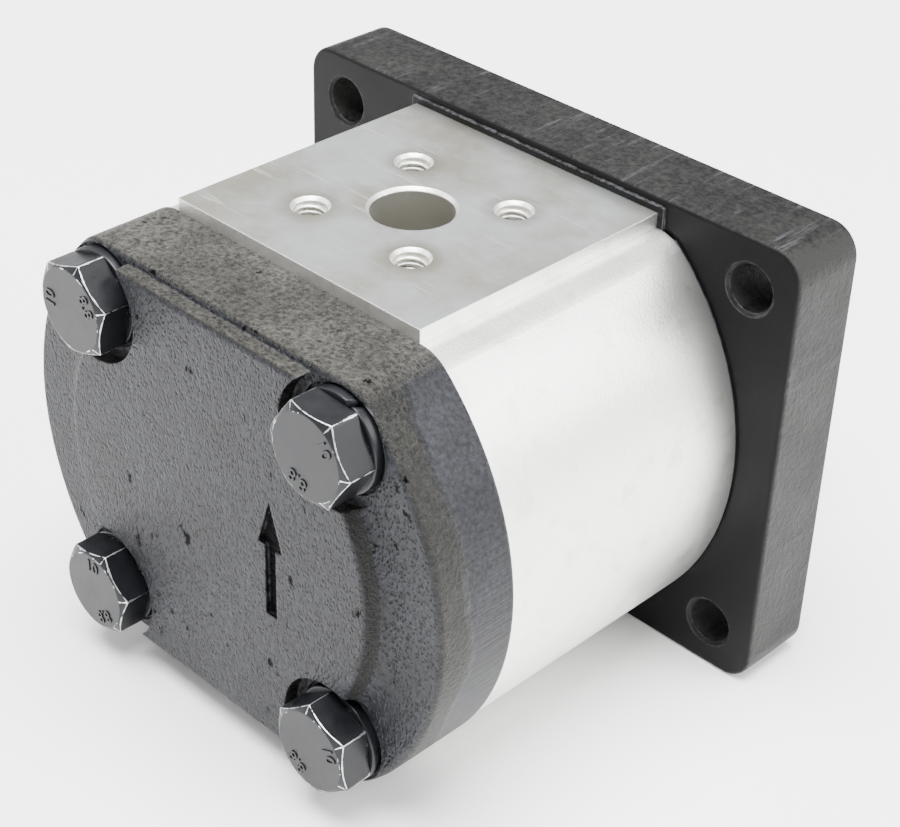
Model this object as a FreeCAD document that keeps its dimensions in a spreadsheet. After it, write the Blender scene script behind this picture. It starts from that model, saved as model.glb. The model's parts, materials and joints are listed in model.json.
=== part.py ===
import FreeCAD, Part

"""External gear pump: cast mounting flange, extruded body, cast rear cover and everything inside.

Frame: millimetres, +Z up through the pressure port. The origin is where the drive shaft's axis meets
the mounting face. +Y runs out along the drive shaft, so the body and the rear cover lie at negative Y.
The housing is symmetric about the plane half way between the two shafts, which lies at negative X.
"""

import math
import os

import Sketcher
from FreeCAD import Placement, Rotation, Vector

# Every size that can be set by itself: name, value in mm (or as noted), what it is.
DRIVING_SIZES = (
    ("flange_thickness", 17.0, "body joint to mounting face"),
    ("flange_ear", 8.2, "mounting flange beyond the body's round side, at each side"),
    ("flange_border", 1.5, "mounting flange beyond the raised seat, at top and bottom"),
    ("flange_corner", 5.8, "radius of the flange's corners"),
    ("flange_edge", 0.8, "cast radius along the flange's edges"),
    ("seat_height", 0.5, "raised seat under the body"),
    ("seat_margin", 1.2, "how far the seat stands out round the port pads"),
    ("seat_inset", 0.4, "how far the seat stays inside the body's round sides"),
    ("mount_edge_x", 10.0, "mounting hole's centre to the flange's side"),
    ("mount_edge_z", 9.5, "mounting hole's centre to the flange's top or bottom"),
    ("mount_hole", 9.0, "mounting hole diameter, for M8"),
    ("mount_hole_chamfer", 0.6, "chamfer at both ends of a mounting hole"),
    ("pilot_diameter", 80.0, "locating spigot"),
    ("pilot_height", 7.0, "locating spigot's height above the mounting face"),
    ("pilot_chamfer", 1.0, "chamfer on the spigot"),
    ("body_length", 57.4, "front joint to rear joint"),
    ("barrel_wall", 6.89, "wall between a locating pin and the body's round side"),
    ("flat_wall", 4.6, "wall between a cover bolt's hole and the body's plain flats"),
    ("barrel_edge", 8.0, "radius where a flat meets a round side"),
    ("pad_inset", 3.33, "side of the port pad, in from the end of the plain flat"),
    ("pad_height", 2.9, "port pad's face above the plain flat"),
    ("cover_thickness", 16.5, "rear cover, joint to shoulder"),
    ("cover_overhang", 0.4, "rear cover beyond the body, all round"),
    ("cover_corner", 8.0, "rear cover, radius where a flat meets a round side"),
    ("cover_edge", 1.2, "cast radius of the rear cover's outer edge"),
    ("boss_height", 3.1, "raised face above the cover's shoulder"),
    ("shoulder_width", 9.4, "cover's round side to the foot of the raised face"),
    ("boss_flank", 4.6, "width of the concave wall round the raised face"),
    ("boss_step", 1.3, "top and bottom of the raised face, in from the cover's flats"),
    ("boss_side_inset", 4.7, "raised face's top and bottom ends, in from the line of the cover bolts"),
    ("boss_edge", 1.0, "cast radius round the raised face"),
    ("pocket_gap", 1.8, "cast pocket beyond the machined seat, on radius"),
    ("spotface_gap", 0.55, "machined seat beyond the spring washer, on radius"),
    ("spotface_depth", 0.8, "depth of that seat below the shoulder"),
    ("arrow_length", 24.0, "cast arrow, tip to tail"),
    ("arrow_head_length", 9.6, "cast arrow's head"),
    ("arrow_head_width", 6.2, "cast arrow's head"),
    ("arrow_stem_width", 2.8, "cast arrow's stem"),
    ("arrow_depth", 0.9, "how deep the arrow is sunk"),
    ("bolt_rim", 4.285, "wall between a cover bolt's hole and the body's round side"),
    ("bolt_seal_wall", 2.3, "wall between a cover bolt's hole and the body seal's groove"),
    ("bolt_diameter", 10.0, "cover bolt, M10"),
    ("bolt_flats", 16.0, "cover bolt head across flats"),
    ("bolt_head", 6.4, "cover bolt head height"),
    ("bolt_hole_gap", 0.3, "cover bolt to its clearance hole, on radius"),
    ("thread_gap", 0.05, "modelled gap between a screw and its tapped hole, on radius"),
    ("tap_run_out", 0.8, "tapped hole beyond the bolt's end"),
    ("tap_floor", 2.2, "flange left in front of a tapped hole"),
    ("washer_gap", 0.15, "cover bolt to its spring washer, on radius"),
    ("washer_section", 3.9, "spring washer's width, inside to outside"),
    ("washer_thickness", 2.2, "M10 spring washer"),
    ("washer_split", 1.1, "gap cut through a spring washer"),
    ("gear_module", 2.5, "gear module"),
    ("gear_width", 22.0, "gear face width"),
    ("tooth_backlash", 0.10, "thinning of each tooth at the pitch circle"),
    ("tip_gap", 0.06, "gear tip to body bore, on radius"),
    ("side_gap", 0.05, "gear side to bearing block"),
    ("journal_diameter", 18.0, "shaft journals"),
    ("journal_gap", 0.03, "journal to bush, on radius"),
    ("journal_end_gap", 1.0, "journal end to joint face"),
    ("journal_chamfer", 0.8, "chamfer on journal ends"),
    ("bush_wall", 1.0, "bearing bush wall"),
    ("bush_setback", 1.2, "bush behind the block's gear side"),
    ("bush_outer_setback", 1.45, "bush behind the block's outer side"),
    ("block_gap", 0.03, "bearing block to body bore, on radius"),
    ("relief_width", 5.0, "trapped oil relief in a block, along X"),
    ("relief_height", 5.5, "trapped oil relief in a block, along Z"),
    ("relief_depth", 1.2, "trapped oil relief in a block"),
    ("relief_start", 2.6, "relief above the shaft plane"),
    ("seal_land", 2.0, "wall between body bore and body seal groove"),
    ("body_seal_width", 2.4, "body seal groove"),
    ("body_seal_depth", 1.8, "body seal groove"),
    ("seal_side_gap", 0.05, "play beside each flat seal"),
    ("pressure_seal_width", 1.2, "rubber strip on a bearing block"),
    ("backup_width", 1.0, "plastic strip inside the rubber strip"),
    ("pressure_seal_depth", 2.0, "groove for both strips"),
    ("dowel_diameter", 5.0, "locating pins in both joints"),
    ("dowel_length", 12.0, "locating pins, half in each part"),
    ("dowel_wall", 2.0, "wall between seal groove and locating pin"),
    ("dowel_bottom_gap", 0.3, "gap beyond each end of a locating pin"),
    ("port_offset", 1.4, "ports behind the middle of the body"),
    ("pressure_bore", 15.0, "pressure port"),
    ("pressure_circle", 35.0, "bolt circle of the pressure port"),
    ("suction_bore", 20.0, "suction port"),
    ("suction_circle", 40.0, "bolt circle of the suction port"),
    ("port_throat_step", 1.0, "step from a port's bore to its inner hole, on radius"),
    ("port_floor", 0.8, "from that step to the crown of the gear bores"),
    ("port_screw", 6.0, "tapped holes round both ports, M6"),
    ("port_screw_depth", 13.0, "tapped holes round both ports"),
    ("port_chamfer", 0.6, "chamfer on the ports' holes"),
    ("shaft_hole_gap", 1.0, "flange bore round the drive shaft, on radius"),
    ("lip_seal_section", 6.0, "shaft seal, from the shaft to its seat, on radius"),
    ("lip_seal_length", 7.0, "shaft seal"),
    ("seal_relief_gap", 3.0, "oil space behind the shaft seal, round the shaft"),
    ("seal_relief_depth", 3.5, "oil space behind the shaft seal"),
    ("case_wall", 1.0, "shaft seal's steel case"),
    ("case_web", 3.4, "width of the case's flat ring"),
    ("lip_gap", 0.03, "seal lip to shaft, on radius"),
    ("lip_edge", 2.1, "sealing edge, from the back of the seal"),
    ("lip_heel", 0.85, "back of the rubber lip, from the back of the seal"),
    ("lip_waist", 3.15, "thin part of the rubber lip, from the back of the seal"),
    ("lip_root", 4.2, "where the rubber leaves the case, from the back of the seal"),
    ("lip_rubber", 0.6, "rubber of the lip at its waist"),
    ("garter_wire", 0.7, "garter spring's section radius"),
    ("garter_gap", 0.15, "garter spring to rubber lip"),
    ("circlip_thickness", 1.2, "retaining ring"),
    ("circlip_groove", 1.3, "retaining ring's groove width"),
    ("circlip_groove_depth", 0.7, "retaining ring's groove, on radius"),
    ("circlip_setback", 1.0, "groove behind the spigot's face"),
    ("circlip_section", 2.6, "retaining ring's width"),
    ("circlip_opening", 9.0, "gap between the retaining ring's ends"),
    ("circlip_lug", 1.7, "radius of the retaining ring's lugs"),
    ("plier_hole", 0.75, "radius of the holes in those lugs"),
    ("circlip_lug_gap", 0.3, "retaining ring's lugs to the seal bore"),
    ("circlip_play", 0.05, "retaining ring to the bottom of its groove"),
    ("seal_journal_end", 8.5, "end of the cylindrical shaft in front of the mounting face"),
    ("taper_step", 0.5, "step from the shaft down to the 1:5 taper, on radius"),
    ("taper_length", 21.0, "taper"),
    ("thread_step", 0.4, "step from the taper down to the thread, on radius"),
    ("thread_height", 0.92, "M12 x 1.5 thread, crest to core"),
    ("shaft_thread_length", 14.0, "threaded end"),
    ("thread_chamfer", 0.8, "chamfer on the threaded end"),
    ("key_width", 3.0, "half-moon key"),
    ("key_height", 5.0, "half-moon key"),
    ("key_circle", 13.0, "half-moon key"),
    ("key_stand", 1.3, "key above the taper at its middle"),
    ("nut_wall", 3.5, "shaft nut, from its thread to its flats"),
    ("nut_height", 7.0, "shaft nut"),
    ("lock_washer_section", 4.45, "spring washer under the shaft nut, inside to outside"),
    ("lock_washer_thickness", 2.5, "spring washer under the shaft nut"),
)

GEAR_TEETH = 12
PRESSURE_ANGLE = math.radians(20)
PROFILE_SHIFT = 0.2229          # of each gear, in modules
TIP_CLEARANCE = 0.25            # tip to the other gear's root, in modules
FLANK_POINTS = 7                # points worked out along each involute
HEX_CHAMFER = math.radians(30)
HEX_LAND = 0.95                 # flat top of a bolt head, of its width across flats
TAPER = 5                       # length of the shaft's taper over which its diameter falls by 1
SPLIT_SLANT = 25                # slant of a spring washer's split, in degrees
OVERSHOOT = 2.0                 # how far a cutting shape reaches past what it cuts

# Each cover bolt: side, height, turn of the head in degrees, turn of its washer's split.
COVER_BOLTS = ((-1, 1, 136.5, 205), (1, 1, 117.0, 66), (-1, -1, 131.0, 310), (1, -1, 96.0, 150))

doc = FreeCAD.newDocument("gear_pump")
sheet = doc.addObject("Spreadsheet::Sheet", "Sizes")


class Size:
    """A length with the spreadsheet expression that gives it, so that each formula is written once."""

    def __init__(self, value, text):
        self.value = value
        self.text = text

    def __add__(self, other):
        other = as_size(other)
        return Size(self.value + other.value, f"({self.text} + {other.text})")

    def __radd__(self, other):
        return as_size(other) + self

    def __sub__(self, other):
        other = as_size(other)
        return Size(self.value - other.value, f"({self.text} - {other.text})")

    def __rsub__(self, other):
        return as_size(other) - self

    def __mul__(self, other):
        other = as_size(other)
        return Size(self.value * other.value, f"({self.text} * {other.text})")

    def __rmul__(self, other):
        return as_size(other) * self

    def __truediv__(self, other):
        other = as_size(other)
        return Size(self.value / other.value, f"({self.text} / {other.text})")

    def __neg__(self):
        return Size(-self.value, f"(0 - {self.text})")


def as_size(number):
    """A plain number as a Size."""
    if isinstance(number, Size):
        return number
    return Size(float(number), repr(float(number)))


def root(size):
    """Square root of a Size."""
    return Size(math.sqrt(size.value), f"sqrt({size.text})")


def add_to_sheet(name, value, note):
    """Write one plain number into the sheet, give its cell an alias and return it as a Size."""
    add_to_sheet.row += 1
    row = add_to_sheet.row
    sheet.set(f"A{row}", note)
    sheet.set(f"B{row}", repr(value))
    sheet.setAlias(f"B{row}", name)
    return Size(value, f"Sizes.{name}")


add_to_sheet.row = 0


class Sizes:
    """All sizes by name: S.body_length is a Size."""


S = Sizes()
for size_name, size_value, size_note in DRIVING_SIZES:
    setattr(S, size_name, add_to_sheet(size_name, size_value, size_note))


# ---------------------------------------------------------------- gear geometry, from the module


def involute(angle):
    """The involute function of a pressure angle."""
    return math.tan(angle) - angle


def working_angle():
    """Pressure angle at which two gears with this profile shift mesh, by Newton's method."""
    wanted = involute(PRESSURE_ANGLE) + 2 * PROFILE_SHIFT * math.tan(PRESSURE_ANGLE) / GEAR_TEETH
    angle = PRESSURE_ANGLE
    for _ in range(20):
        angle -= (involute(angle) - wanted) / math.tan(angle) ** 2
    return angle


gear_module = S.gear_module.value
pitch_radius = gear_module * GEAR_TEETH / 2
base_radius = pitch_radius * math.cos(PRESSURE_ANGLE)
gear_root_radius = pitch_radius - gear_module * (1 + TIP_CLEARANCE - PROFILE_SHIFT)
gear_centres = 2 * base_radius / math.cos(working_angle())
gear_tip_radius = gear_centres - gear_root_radius - TIP_CLEARANCE * gear_module

sheet.recompute()
S.centre_distance = add_to_sheet("centre_distance", gear_centres, "drive shaft to idler, from the gears")
S.gear_tip = add_to_sheet("gear_tip", gear_tip_radius, "gear tip radius, from the gears")

# ---------------------------------------------------------------- places that several parts share

half_centres = S.centre_distance / 2
middle_x = -half_centres                                   # plane half way between the shafts
front_joint = -S.flange_thickness                          # flange against body
rear_joint = -(S.flange_thickness + S.body_length)         # body against rear cover
gear_middle = -(S.flange_thickness + S.body_length / 2)
gear_front = gear_middle + S.gear_width / 2
gear_rear = gear_middle - S.gear_width / 2
bore_radius = S.gear_tip + S.tip_gap
block_radius = bore_radius - S.block_gap
journal_radius = S.journal_diameter / 2
bush_inner = journal_radius + S.journal_gap
bush_outer = bush_inner + S.bush_wall
block_length = (S.body_length - S.gear_width) / 2 - S.side_gap
bush_length = block_length - S.bush_setback - S.bush_outer_setback
seal_inner = bore_radius + S.seal_land                     # body seal's groove, from either shaft
seal_outer = seal_inner + S.body_seal_width
dowel_radius = S.dowel_diameter / 2
dowel_x = half_centres + seal_outer + S.dowel_wall + dowel_radius
dowel_hole_depth = S.dowel_length / 2 + S.dowel_bottom_gap
barrel_radius = dowel_x + dowel_radius + S.barrel_wall     # round sides of the body
bolt_radius = S.bolt_diameter / 2
bolt_hole = bolt_radius + S.bolt_hole_gap
bolt_z = seal_outer + S.bolt_seal_wall + bolt_hole         # cover bolts, from the housing's middle
bolt_reach = barrel_radius - S.bolt_rim - bolt_hole
bolt_x = root(bolt_reach * bolt_reach - bolt_z * bolt_z)
bolt_engagement = S.flange_thickness - S.tap_run_out - S.tap_floor
barrel_flat = bolt_z + bolt_hole + S.flat_wall             # half height of the body's plain flats
barrel_corner = root(barrel_radius * barrel_radius - barrel_flat * barrel_flat)
pad_half_width = barrel_corner - S.pad_inset
pad_level = barrel_flat + S.pad_height
cover_radius = barrel_radius + S.cover_overhang
cover_flat = barrel_flat + S.cover_overhang
seat_radius = barrel_radius - S.seat_inset
seat_flat = pad_level + S.seat_margin
flange_half_width = barrel_radius + S.flange_ear
flange_half_height = seat_flat + S.flange_border
washer_inner = bolt_radius + S.washer_gap
washer_outer = washer_inner + S.washer_section
washer_seat = -(S.cover_thickness - S.spotface_depth)      # from the rear joint
spotface_radius = washer_outer + S.spotface_gap
pocket_radius = spotface_radius + S.pocket_gap
port_y = -(S.body_length / 2 + S.port_offset)              # from the front joint
port_depth = pad_level - bore_radius - S.port_floor
lip_seal_radius = journal_radius + S.lip_seal_section
circlip_front = S.pilot_height - S.circlip_setback
circlip_rear = circlip_front - S.circlip_groove
lip_seal_floor = circlip_rear - S.lip_seal_length
taper_radius = journal_radius - S.taper_step
taper_end = S.seal_journal_end + S.taper_length
taper_end_radius = taper_radius - S.taper_length / (2 * TAPER)
thread_radius = taper_end_radius - S.thread_step
core_radius = thread_radius - S.thread_height
thread_end = taper_end + S.shaft_thread_length
key_middle = S.seal_journal_end + S.taper_length / 2
key_top = (taper_radius + taper_end_radius) / 2 + S.key_stand
key_centre = key_top - S.key_height + S.key_circle / 2

# ---------------------------------------------------------------- helpers

ALONG_MINUS_Y = Rotation(Vector(1, 0, 0), 90)              # turns a primitive's +Z to -Y
nodes = []


def bind(item, prop, size):
    """Tie one property of an object to the spreadsheet."""
    item.setExpression(prop, as_size(size).text)


def place(item, x=0, y=0, z=0, rotation=Rotation()):
    """Turn an object and tie its place to the spreadsheet."""
    item.Placement = Placement(Vector(), rotation)
    for axis, size in (("x", x), ("y", y), ("z", z)):
        bind(item, f"Placement.Base.{axis}", size)


def node(item, label):
    """Name an object as a sub-part that is written to its own file."""
    item.Label = label
    nodes.append(item)
    return item


def new_body(name, x=0, y=0, z=0, rotation=Rotation()):
    """An empty body at a place that follows the spreadsheet."""
    body = doc.addObject("PartDesign::Body", name)
    place(body, x, y, z, rotation)
    return body


def new_sketch(body, name, plane, offset=0):
    """A sketch on one of the body's own origin planes, moved along that plane's normal."""
    sketch = body.newObject("Sketcher::SketchObject", name)
    support = [item for item in body.Origin.OriginFeatures if item.Role == plane][0]
    sketch.AttachmentSupport = (support, [""])
    sketch.MapMode = "FlatFace"
    bind(sketch, "AttachmentOffset.Base.z", offset)
    return sketch


def fix_point(sketch, geometry, position, x, y):
    """Hold one point of a sketch at two sizes measured from its origin."""
    for kind, axis, size in (("DistanceX", -2, x), ("DistanceY", -1, y)):
        size = as_size(size)
        if size.value == 0:
            sketch.addConstraint(Sketcher.Constraint("PointOnObject", geometry, position, axis))
            continue
        constraint = Sketcher.Constraint(kind, -1, 1, geometry, position, size.value)
        bind(sketch, f"Constraints[{sketch.addConstraint(constraint)}]", size)


def fix_centre(sketch, geometry, start, end, centre):
    """Hold an arc's centre along the direction that its two ends leave free."""
    along_x = abs(end[1] - start[1]) >= abs(end[0] - start[0])
    size = as_size(centre[0] if along_x else centre[1])
    axis = -2 if along_x else -1
    if size.value == 0:
        sketch.addConstraint(Sketcher.Constraint("PointOnObject", geometry, 3, axis))
        return
    kind = "DistanceX" if along_x else "DistanceY"
    constraint = Sketcher.Constraint(kind, -1, 1, geometry, 3, size.value)
    bind(sketch, f"Constraints[{sketch.addConstraint(constraint)}]", size)


def add_outline(sketch, points, arcs=None):
    """Draw a closed outline. arcs maps the number of a side to (centre x, centre y, turns left)."""
    arcs = arcs or {}
    corners = [(as_size(x), as_size(y)) for x, y in points]
    flat = [(x.value, y.value) for x, y in corners]
    sides = []
    for i, start in enumerate(flat):
        end = flat[(i + 1) % len(flat)]
        if i not in arcs:
            line = Part.LineSegment(Vector(*start, 0), Vector(*end, 0))
            sides.append((sketch.addGeometry(line, False), 1, 2))
            continue
        centre = (as_size(arcs[i][0]), as_size(arcs[i][1]))
        left = arcs[i][2]
        first, last = (start, end) if left else (end, start)
        hub = (centre[0].value, centre[1].value)
        angles = [math.atan2(p[1] - hub[1], p[0] - hub[0]) for p in (first, last)]
        if angles[1] <= angles[0]:
            angles[1] += 2 * math.pi
        circle = Part.Circle(Vector(*hub, 0), Vector(0, 0, 1), math.dist(start, hub))
        number = sketch.addGeometry(Part.ArcOfCircle(circle, *angles), False)
        sides.append((number, 1, 2) if left else (number, 2, 1))
    for i, (number, start_point, end_point) in enumerate(sides):
        following = sides[(i + 1) % len(sides)]
        sketch.addConstraint(
            Sketcher.Constraint("Coincident", number, end_point, following[0], following[1]))
    for i, (number, start_point, end_point) in enumerate(sides):
        fix_point(sketch, number, start_point, *corners[i])
        if i in arcs:
            fix_centre(sketch, number, flat[i], flat[(i + 1) % len(flat)], arcs[i])


def add_circle(sketch, x, y, radius):
    """Draw a circle held by its centre and radius."""
    x, y, radius = as_size(x), as_size(y), as_size(radius)
    circle = Part.Circle(Vector(x.value, y.value, 0), Vector(0, 0, 1), radius.value)
    number = sketch.addGeometry(circle, False)
    fix_point(sketch, number, 3, x, y)
    constraint = Sketcher.Constraint("Radius", number, radius.value)
    bind(sketch, f"Constraints[{sketch.addConstraint(constraint)}]", radius)


def pad(body, name, sketch, length, reverse=False):
    """Add material from a sketch, along its normal or against it."""
    feature = body.newObject("PartDesign::Pad", name)
    feature.Profile = sketch
    feature.Reversed = reverse
    bind(feature, "Length", length)
    doc.recompute()
    return feature


def check_cut(body, feature, before):
    """Stop if a cut has taken nothing away."""
    if feature.Shape.Volume > before - 1e-3:
        raise ValueError(f"{body.Name}: {feature.Name} cuts nothing")


def pocket(body, name, sketch, length=None, reverse=False):
    """Cut a sketch out of the body, through everything when no length is given."""
    before = body.Tip.Shape.Volume
    feature = body.newObject("PartDesign::Pocket", name)
    feature.Profile = sketch
    feature.Reversed = reverse
    if length is None:
        feature.Type = "ThroughAll"
    else:
        bind(feature, "Length", length)
    doc.recompute()
    check_cut(body, feature, before)
    return feature


def turn(body, name, points, kind="PartDesign::Revolution", arcs=None):
    """Turn a half profile, given as (radius, y) points, round the body's own Y axis."""
    before = body.Tip.Shape.Volume if body.Tip else 0
    sketch = new_sketch(body, f"{name}_profile", "XY_Plane")
    add_outline(sketch, points, arcs)
    feature = body.newObject(kind, name)
    feature.Profile = sketch
    feature.ReferenceAxis = (sketch, ["V_Axis"])
    feature.Angle = 360
    doc.recompute()
    if kind == "PartDesign::Groove":
        check_cut(body, feature, before)
    return feature


def dress(body, name, kind, size, wanted):
    """Round or chamfer every edge of the body that wanted() picks."""
    base = body.Tip
    names = [f"Edge{i}" for i, edge in enumerate(base.Shape.Edges, 1) if wanted(edge)]
    if not names:
        raise ValueError(f"{body.Name}: {name} finds no edge")
    feature = body.newObject(f"PartDesign::{kind}", name)
    feature.Base = (base, names)
    bind(feature, "Radius" if kind == "Fillet" else "Size", size)
    doc.recompute()
    return feature


def edge_along_y(edge, x, z):
    """Whether a straight edge runs along Y at a distance of x and z from the body's axis."""
    if not isinstance(edge.Curve, Part.Line):
        return False
    middle = edge.CenterOfMass
    return (abs(edge.tangentAt(edge.FirstParameter).y) > 0.999
            and abs(abs(middle.x) - x) < 0.01 and abs(abs(middle.z) - z) < 0.01)


def edge_in_plane(edge, y):
    """Whether an edge lies in a plane across Y."""
    box = edge.BoundBox
    return abs(box.YMin - y) < 0.01 and abs(box.YMax - y) < 0.01


def round_edge(edge, radius):
    """Whether an edge is a circle of a radius."""
    return isinstance(edge.Curve, Part.Circle) and abs(edge.Curve.Radius - radius) < 1e-3


def cylinder(name, radius, length, x=0, y=0, z=0, angle=360, spin=0):
    """A cylinder, or a sector of one, that runs towards -Y from a place."""
    item = doc.addObject("Part::Cylinder", name)
    bind(item, "Radius", radius)
    bind(item, "Height", length)
    item.Angle = angle
    place(item, x, y, z, ALONG_MINUS_Y * Rotation(Vector(0, 0, 1), spin))
    return item


def cut(name, base, tool):
    """Base without tool."""
    item = doc.addObject("Part::Cut", name)
    item.Base = base
    item.Tool = tool
    return item


def fuse(name, items):
    """Several solids as one."""
    item = doc.addObject("Part::MultiFuse", name)
    item.Shapes = items
    return item


def common(name, items):
    """What several solids share."""
    item = doc.addObject("Part::MultiCommon", name)
    item.Shapes = items
    return item


def group(name, items):
    """Several separate solids as one sub-part."""
    item = doc.addObject("Part::Compound", name)
    item.Links = items
    return item


def bolt_places():
    """The four cover bolts' places from the housing's middle, with the turns of head and washer."""
    for side, level, head_turn, split_turn in COVER_BOLTS:
        yield side * bolt_x, level * bolt_z, head_turn, split_turn


def barrel_outline(sketch, radius, flat):
    """Round sides cut off by a flat at top and bottom."""
    corner = root(radius * radius - flat * flat)
    add_outline(
        sketch,
        [(corner, -flat), (corner, flat), (-corner, flat), (-corner, -flat)],
        {0: (0, 0, True), 2: (0, 0, True)})


def padded_outline(sketch, middle, radius, flat, side, top):
    """Round sides about a middle in X, with a port pad standing on each flat."""
    corner = root(radius * radius - flat * flat)
    add_outline(
        sketch,
        [(middle + x, z) for x, z in (
            (corner, -flat), (corner, flat), (side, flat), (side, top), (-side, top), (-side, flat),
            (-corner, flat), (-corner, -flat), (-side, -flat), (-side, -top), (side, -top), (side, -flat))],
        {0: (middle, 0, True), 6: (middle, 0, True)})


def twin_outline(sketch, radius):
    """Two overlapping circles, one round each shaft."""
    waist = root(radius * radius - half_centres * half_centres)
    add_outline(
        sketch,
        [(0, -waist), (0, waist)],
        {0: (half_centres, 0, True), 1: (-half_centres, 0, True)})


def stadium_outline(sketch, radius):
    """A loop round both shafts: two half circles and the straight lines that join them."""
    add_outline(
        sketch,
        [(half_centres, -radius), (half_centres, radius), (-half_centres, radius),
         (-half_centres, -radius)],
        {0: (half_centres, 0, True), 2: (-half_centres, 0, True)})


# ---------------------------------------------------------------- housing


def make_mounting_flange():
    """Front casting: plate, spigot, raised seat for the body and the bore for the shaft seal."""
    body = new_body("mounting_flange_body")
    plate = new_sketch(body, "plate_outline", "XZ_Plane")
    right, left = middle_x + flange_half_width, middle_x - flange_half_width
    top = flange_half_height
    add_outline(plate, [(left, -top), (right, -top), (right, top), (left, top)])
    plate_thickness = S.flange_thickness - S.seat_height
    pad(body, "plate", plate, plate_thickness)
    dress(body, "plate_corners", "Fillet", S.flange_corner,
          lambda edge: isinstance(edge.Curve, Part.Line)
          and abs(edge.tangentAt(edge.FirstParameter).y) > 0.999)
    dress(body, "plate_edges", "Fillet", S.flange_edge,
          lambda edge: edge_in_plane(edge, 0) or edge_in_plane(edge, -plate_thickness.value))

    seat = new_sketch(body, "seat_outline", "XZ_Plane", plate_thickness)
    padded_outline(seat, middle_x, seat_radius, barrel_flat - S.seat_margin,
                   pad_half_width + S.seat_margin, seat_flat)
    pad(body, "seat", seat, S.seat_height)

    pilot = new_sketch(body, "pilot_outline", "XZ_Plane")
    add_circle(pilot, 0, 0, S.pilot_diameter / 2)
    pad(body, "pilot", pilot, S.pilot_height, reverse=True)
    dress(body, "pilot_lead", "Chamfer", S.pilot_chamfer,
          lambda edge: edge_in_plane(edge, S.pilot_height.value))

    groove_radius = lip_seal_radius + S.circlip_groove_depth
    relief_floor = lip_seal_floor - S.seal_relief_depth
    relief_radius = journal_radius + S.seal_relief_gap
    hole_radius = journal_radius + S.shaft_hole_gap
    turn(body, "shaft_bore", [
        (0, S.pilot_height), (lip_seal_radius, S.pilot_height), (lip_seal_radius, circlip_front),
        (groove_radius, circlip_front), (groove_radius, circlip_rear), (lip_seal_radius, circlip_rear),
        (lip_seal_radius, lip_seal_floor), (relief_radius, lip_seal_floor),
        (relief_radius, relief_floor), (hole_radius, relief_floor),
        (hole_radius, front_joint), (0, front_joint)], "PartDesign::Groove")

    holes = new_sketch(body, "mounting_holes_outline", "XZ_Plane")
    for side in (-1, 1):
        for level in (-1, 1):
            add_circle(holes, middle_x + side * (flange_half_width - S.mount_edge_x),
                       level * (flange_half_height - S.mount_edge_z), S.mount_hole / 2)
    pocket(body, "mounting_holes", holes, reverse=True)
    dress(body, "mounting_hole_chamfers", "Chamfer", S.mount_hole_chamfer,
          lambda edge: round_edge(edge, S.mount_hole.value / 2))

    taps = new_sketch(body, "bolt_taps_outline", "XZ_Plane", S.flange_thickness)
    for x, z, _, _ in bolt_places():
        add_circle(taps, middle_x + x, z, bolt_radius + S.thread_gap)
    pocket(body, "bolt_taps", taps, bolt_engagement + S.tap_run_out)

    dowels = new_sketch(body, "dowel_holes_outline", "XZ_Plane", S.flange_thickness)
    for side in (-1, 1):
        add_circle(dowels, middle_x + side * dowel_x, 0, dowel_radius)
    pocket(body, "dowel_holes", dowels, dowel_hole_depth)
    node(body, "mounting_flange")


def cut_port(body, name, bore, circle, side):
    """Bore one port, open it into the gear chamber and drill its four tapped holes. side is +1 at the top."""
    top = side > 0
    for part, radius, depth in (("bore", bore / 2, port_depth),
                                ("throat", bore / 2 - S.port_throat_step, pad_level)):
        face = new_sketch(body, f"{name}_{part}_outline", "XY_Plane", side * pad_level)
        add_circle(face, 0, port_y, radius)
        pocket(body, f"{name}_{part}", face, depth, reverse=not top)
    taps = new_sketch(body, f"{name}_taps_outline", "XY_Plane", side * pad_level)
    span = circle / 2 * math.sqrt(0.5)
    for x in (-span, span):
        for y in (-span, span):
            add_circle(taps, x, port_y + y, S.port_screw / 2)
    pocket(body, f"{name}_taps", taps, S.port_screw_depth, reverse=not top)
    level = side * pad_level.value
    dress(body, f"{name}_chamfers", "Chamfer", S.port_chamfer,
          lambda edge: isinstance(edge.Curve, Part.Circle) and abs(edge.Curve.Center.z - level) < 0.01
          and abs(edge.Curve.Axis.z) > 0.99)


def make_pump_body():
    """Extruded body: round sides, a port pad above and below, and the two joined gear bores."""
    body = new_body("pump_body_body", middle_x, front_joint)
    outside = new_sketch(body, "body_outside", "XZ_Plane")
    padded_outline(outside, 0, barrel_radius, barrel_flat, pad_half_width, pad_level)
    pad(body, "extrusion", outside, S.body_length)
    dress(body, "barrel_edges", "Fillet", S.barrel_edge,
          lambda edge: edge_along_y(edge, barrel_corner.value, barrel_flat.value))

    bores = new_sketch(body, "gear_bores_outline", "XZ_Plane")
    twin_outline(bores, bore_radius)
    pocket(body, "gear_bores", bores, reverse=True)
    holes = new_sketch(body, "bolt_holes_outline", "XZ_Plane")
    for x, z, _, _ in bolt_places():
        add_circle(holes, x, z, bolt_hole)
    pocket(body, "bolt_holes", holes, reverse=True)

    for end, offset, reverse in (("front", 0, True), ("rear", S.body_length, False)):
        groove = new_sketch(body, f"{end}_seal_groove_outline", "XZ_Plane", offset)
        stadium_outline(groove, seal_inner)
        stadium_outline(groove, seal_outer)
        pocket(body, f"{end}_seal_groove", groove, S.body_seal_depth, reverse)
        dowels = new_sketch(body, f"{end}_dowel_holes_outline", "XZ_Plane", offset)
        for side in (-1, 1):
            add_circle(dowels, side * dowel_x, 0, dowel_radius)
        pocket(body, f"{end}_dowel_holes", dowels, dowel_hole_depth, reverse)

    cut_port(body, "pressure", S.pressure_bore, S.pressure_circle, 1)
    cut_port(body, "suction", S.suction_bore, S.suction_circle, -1)
    node(body, "pump_body")


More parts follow.
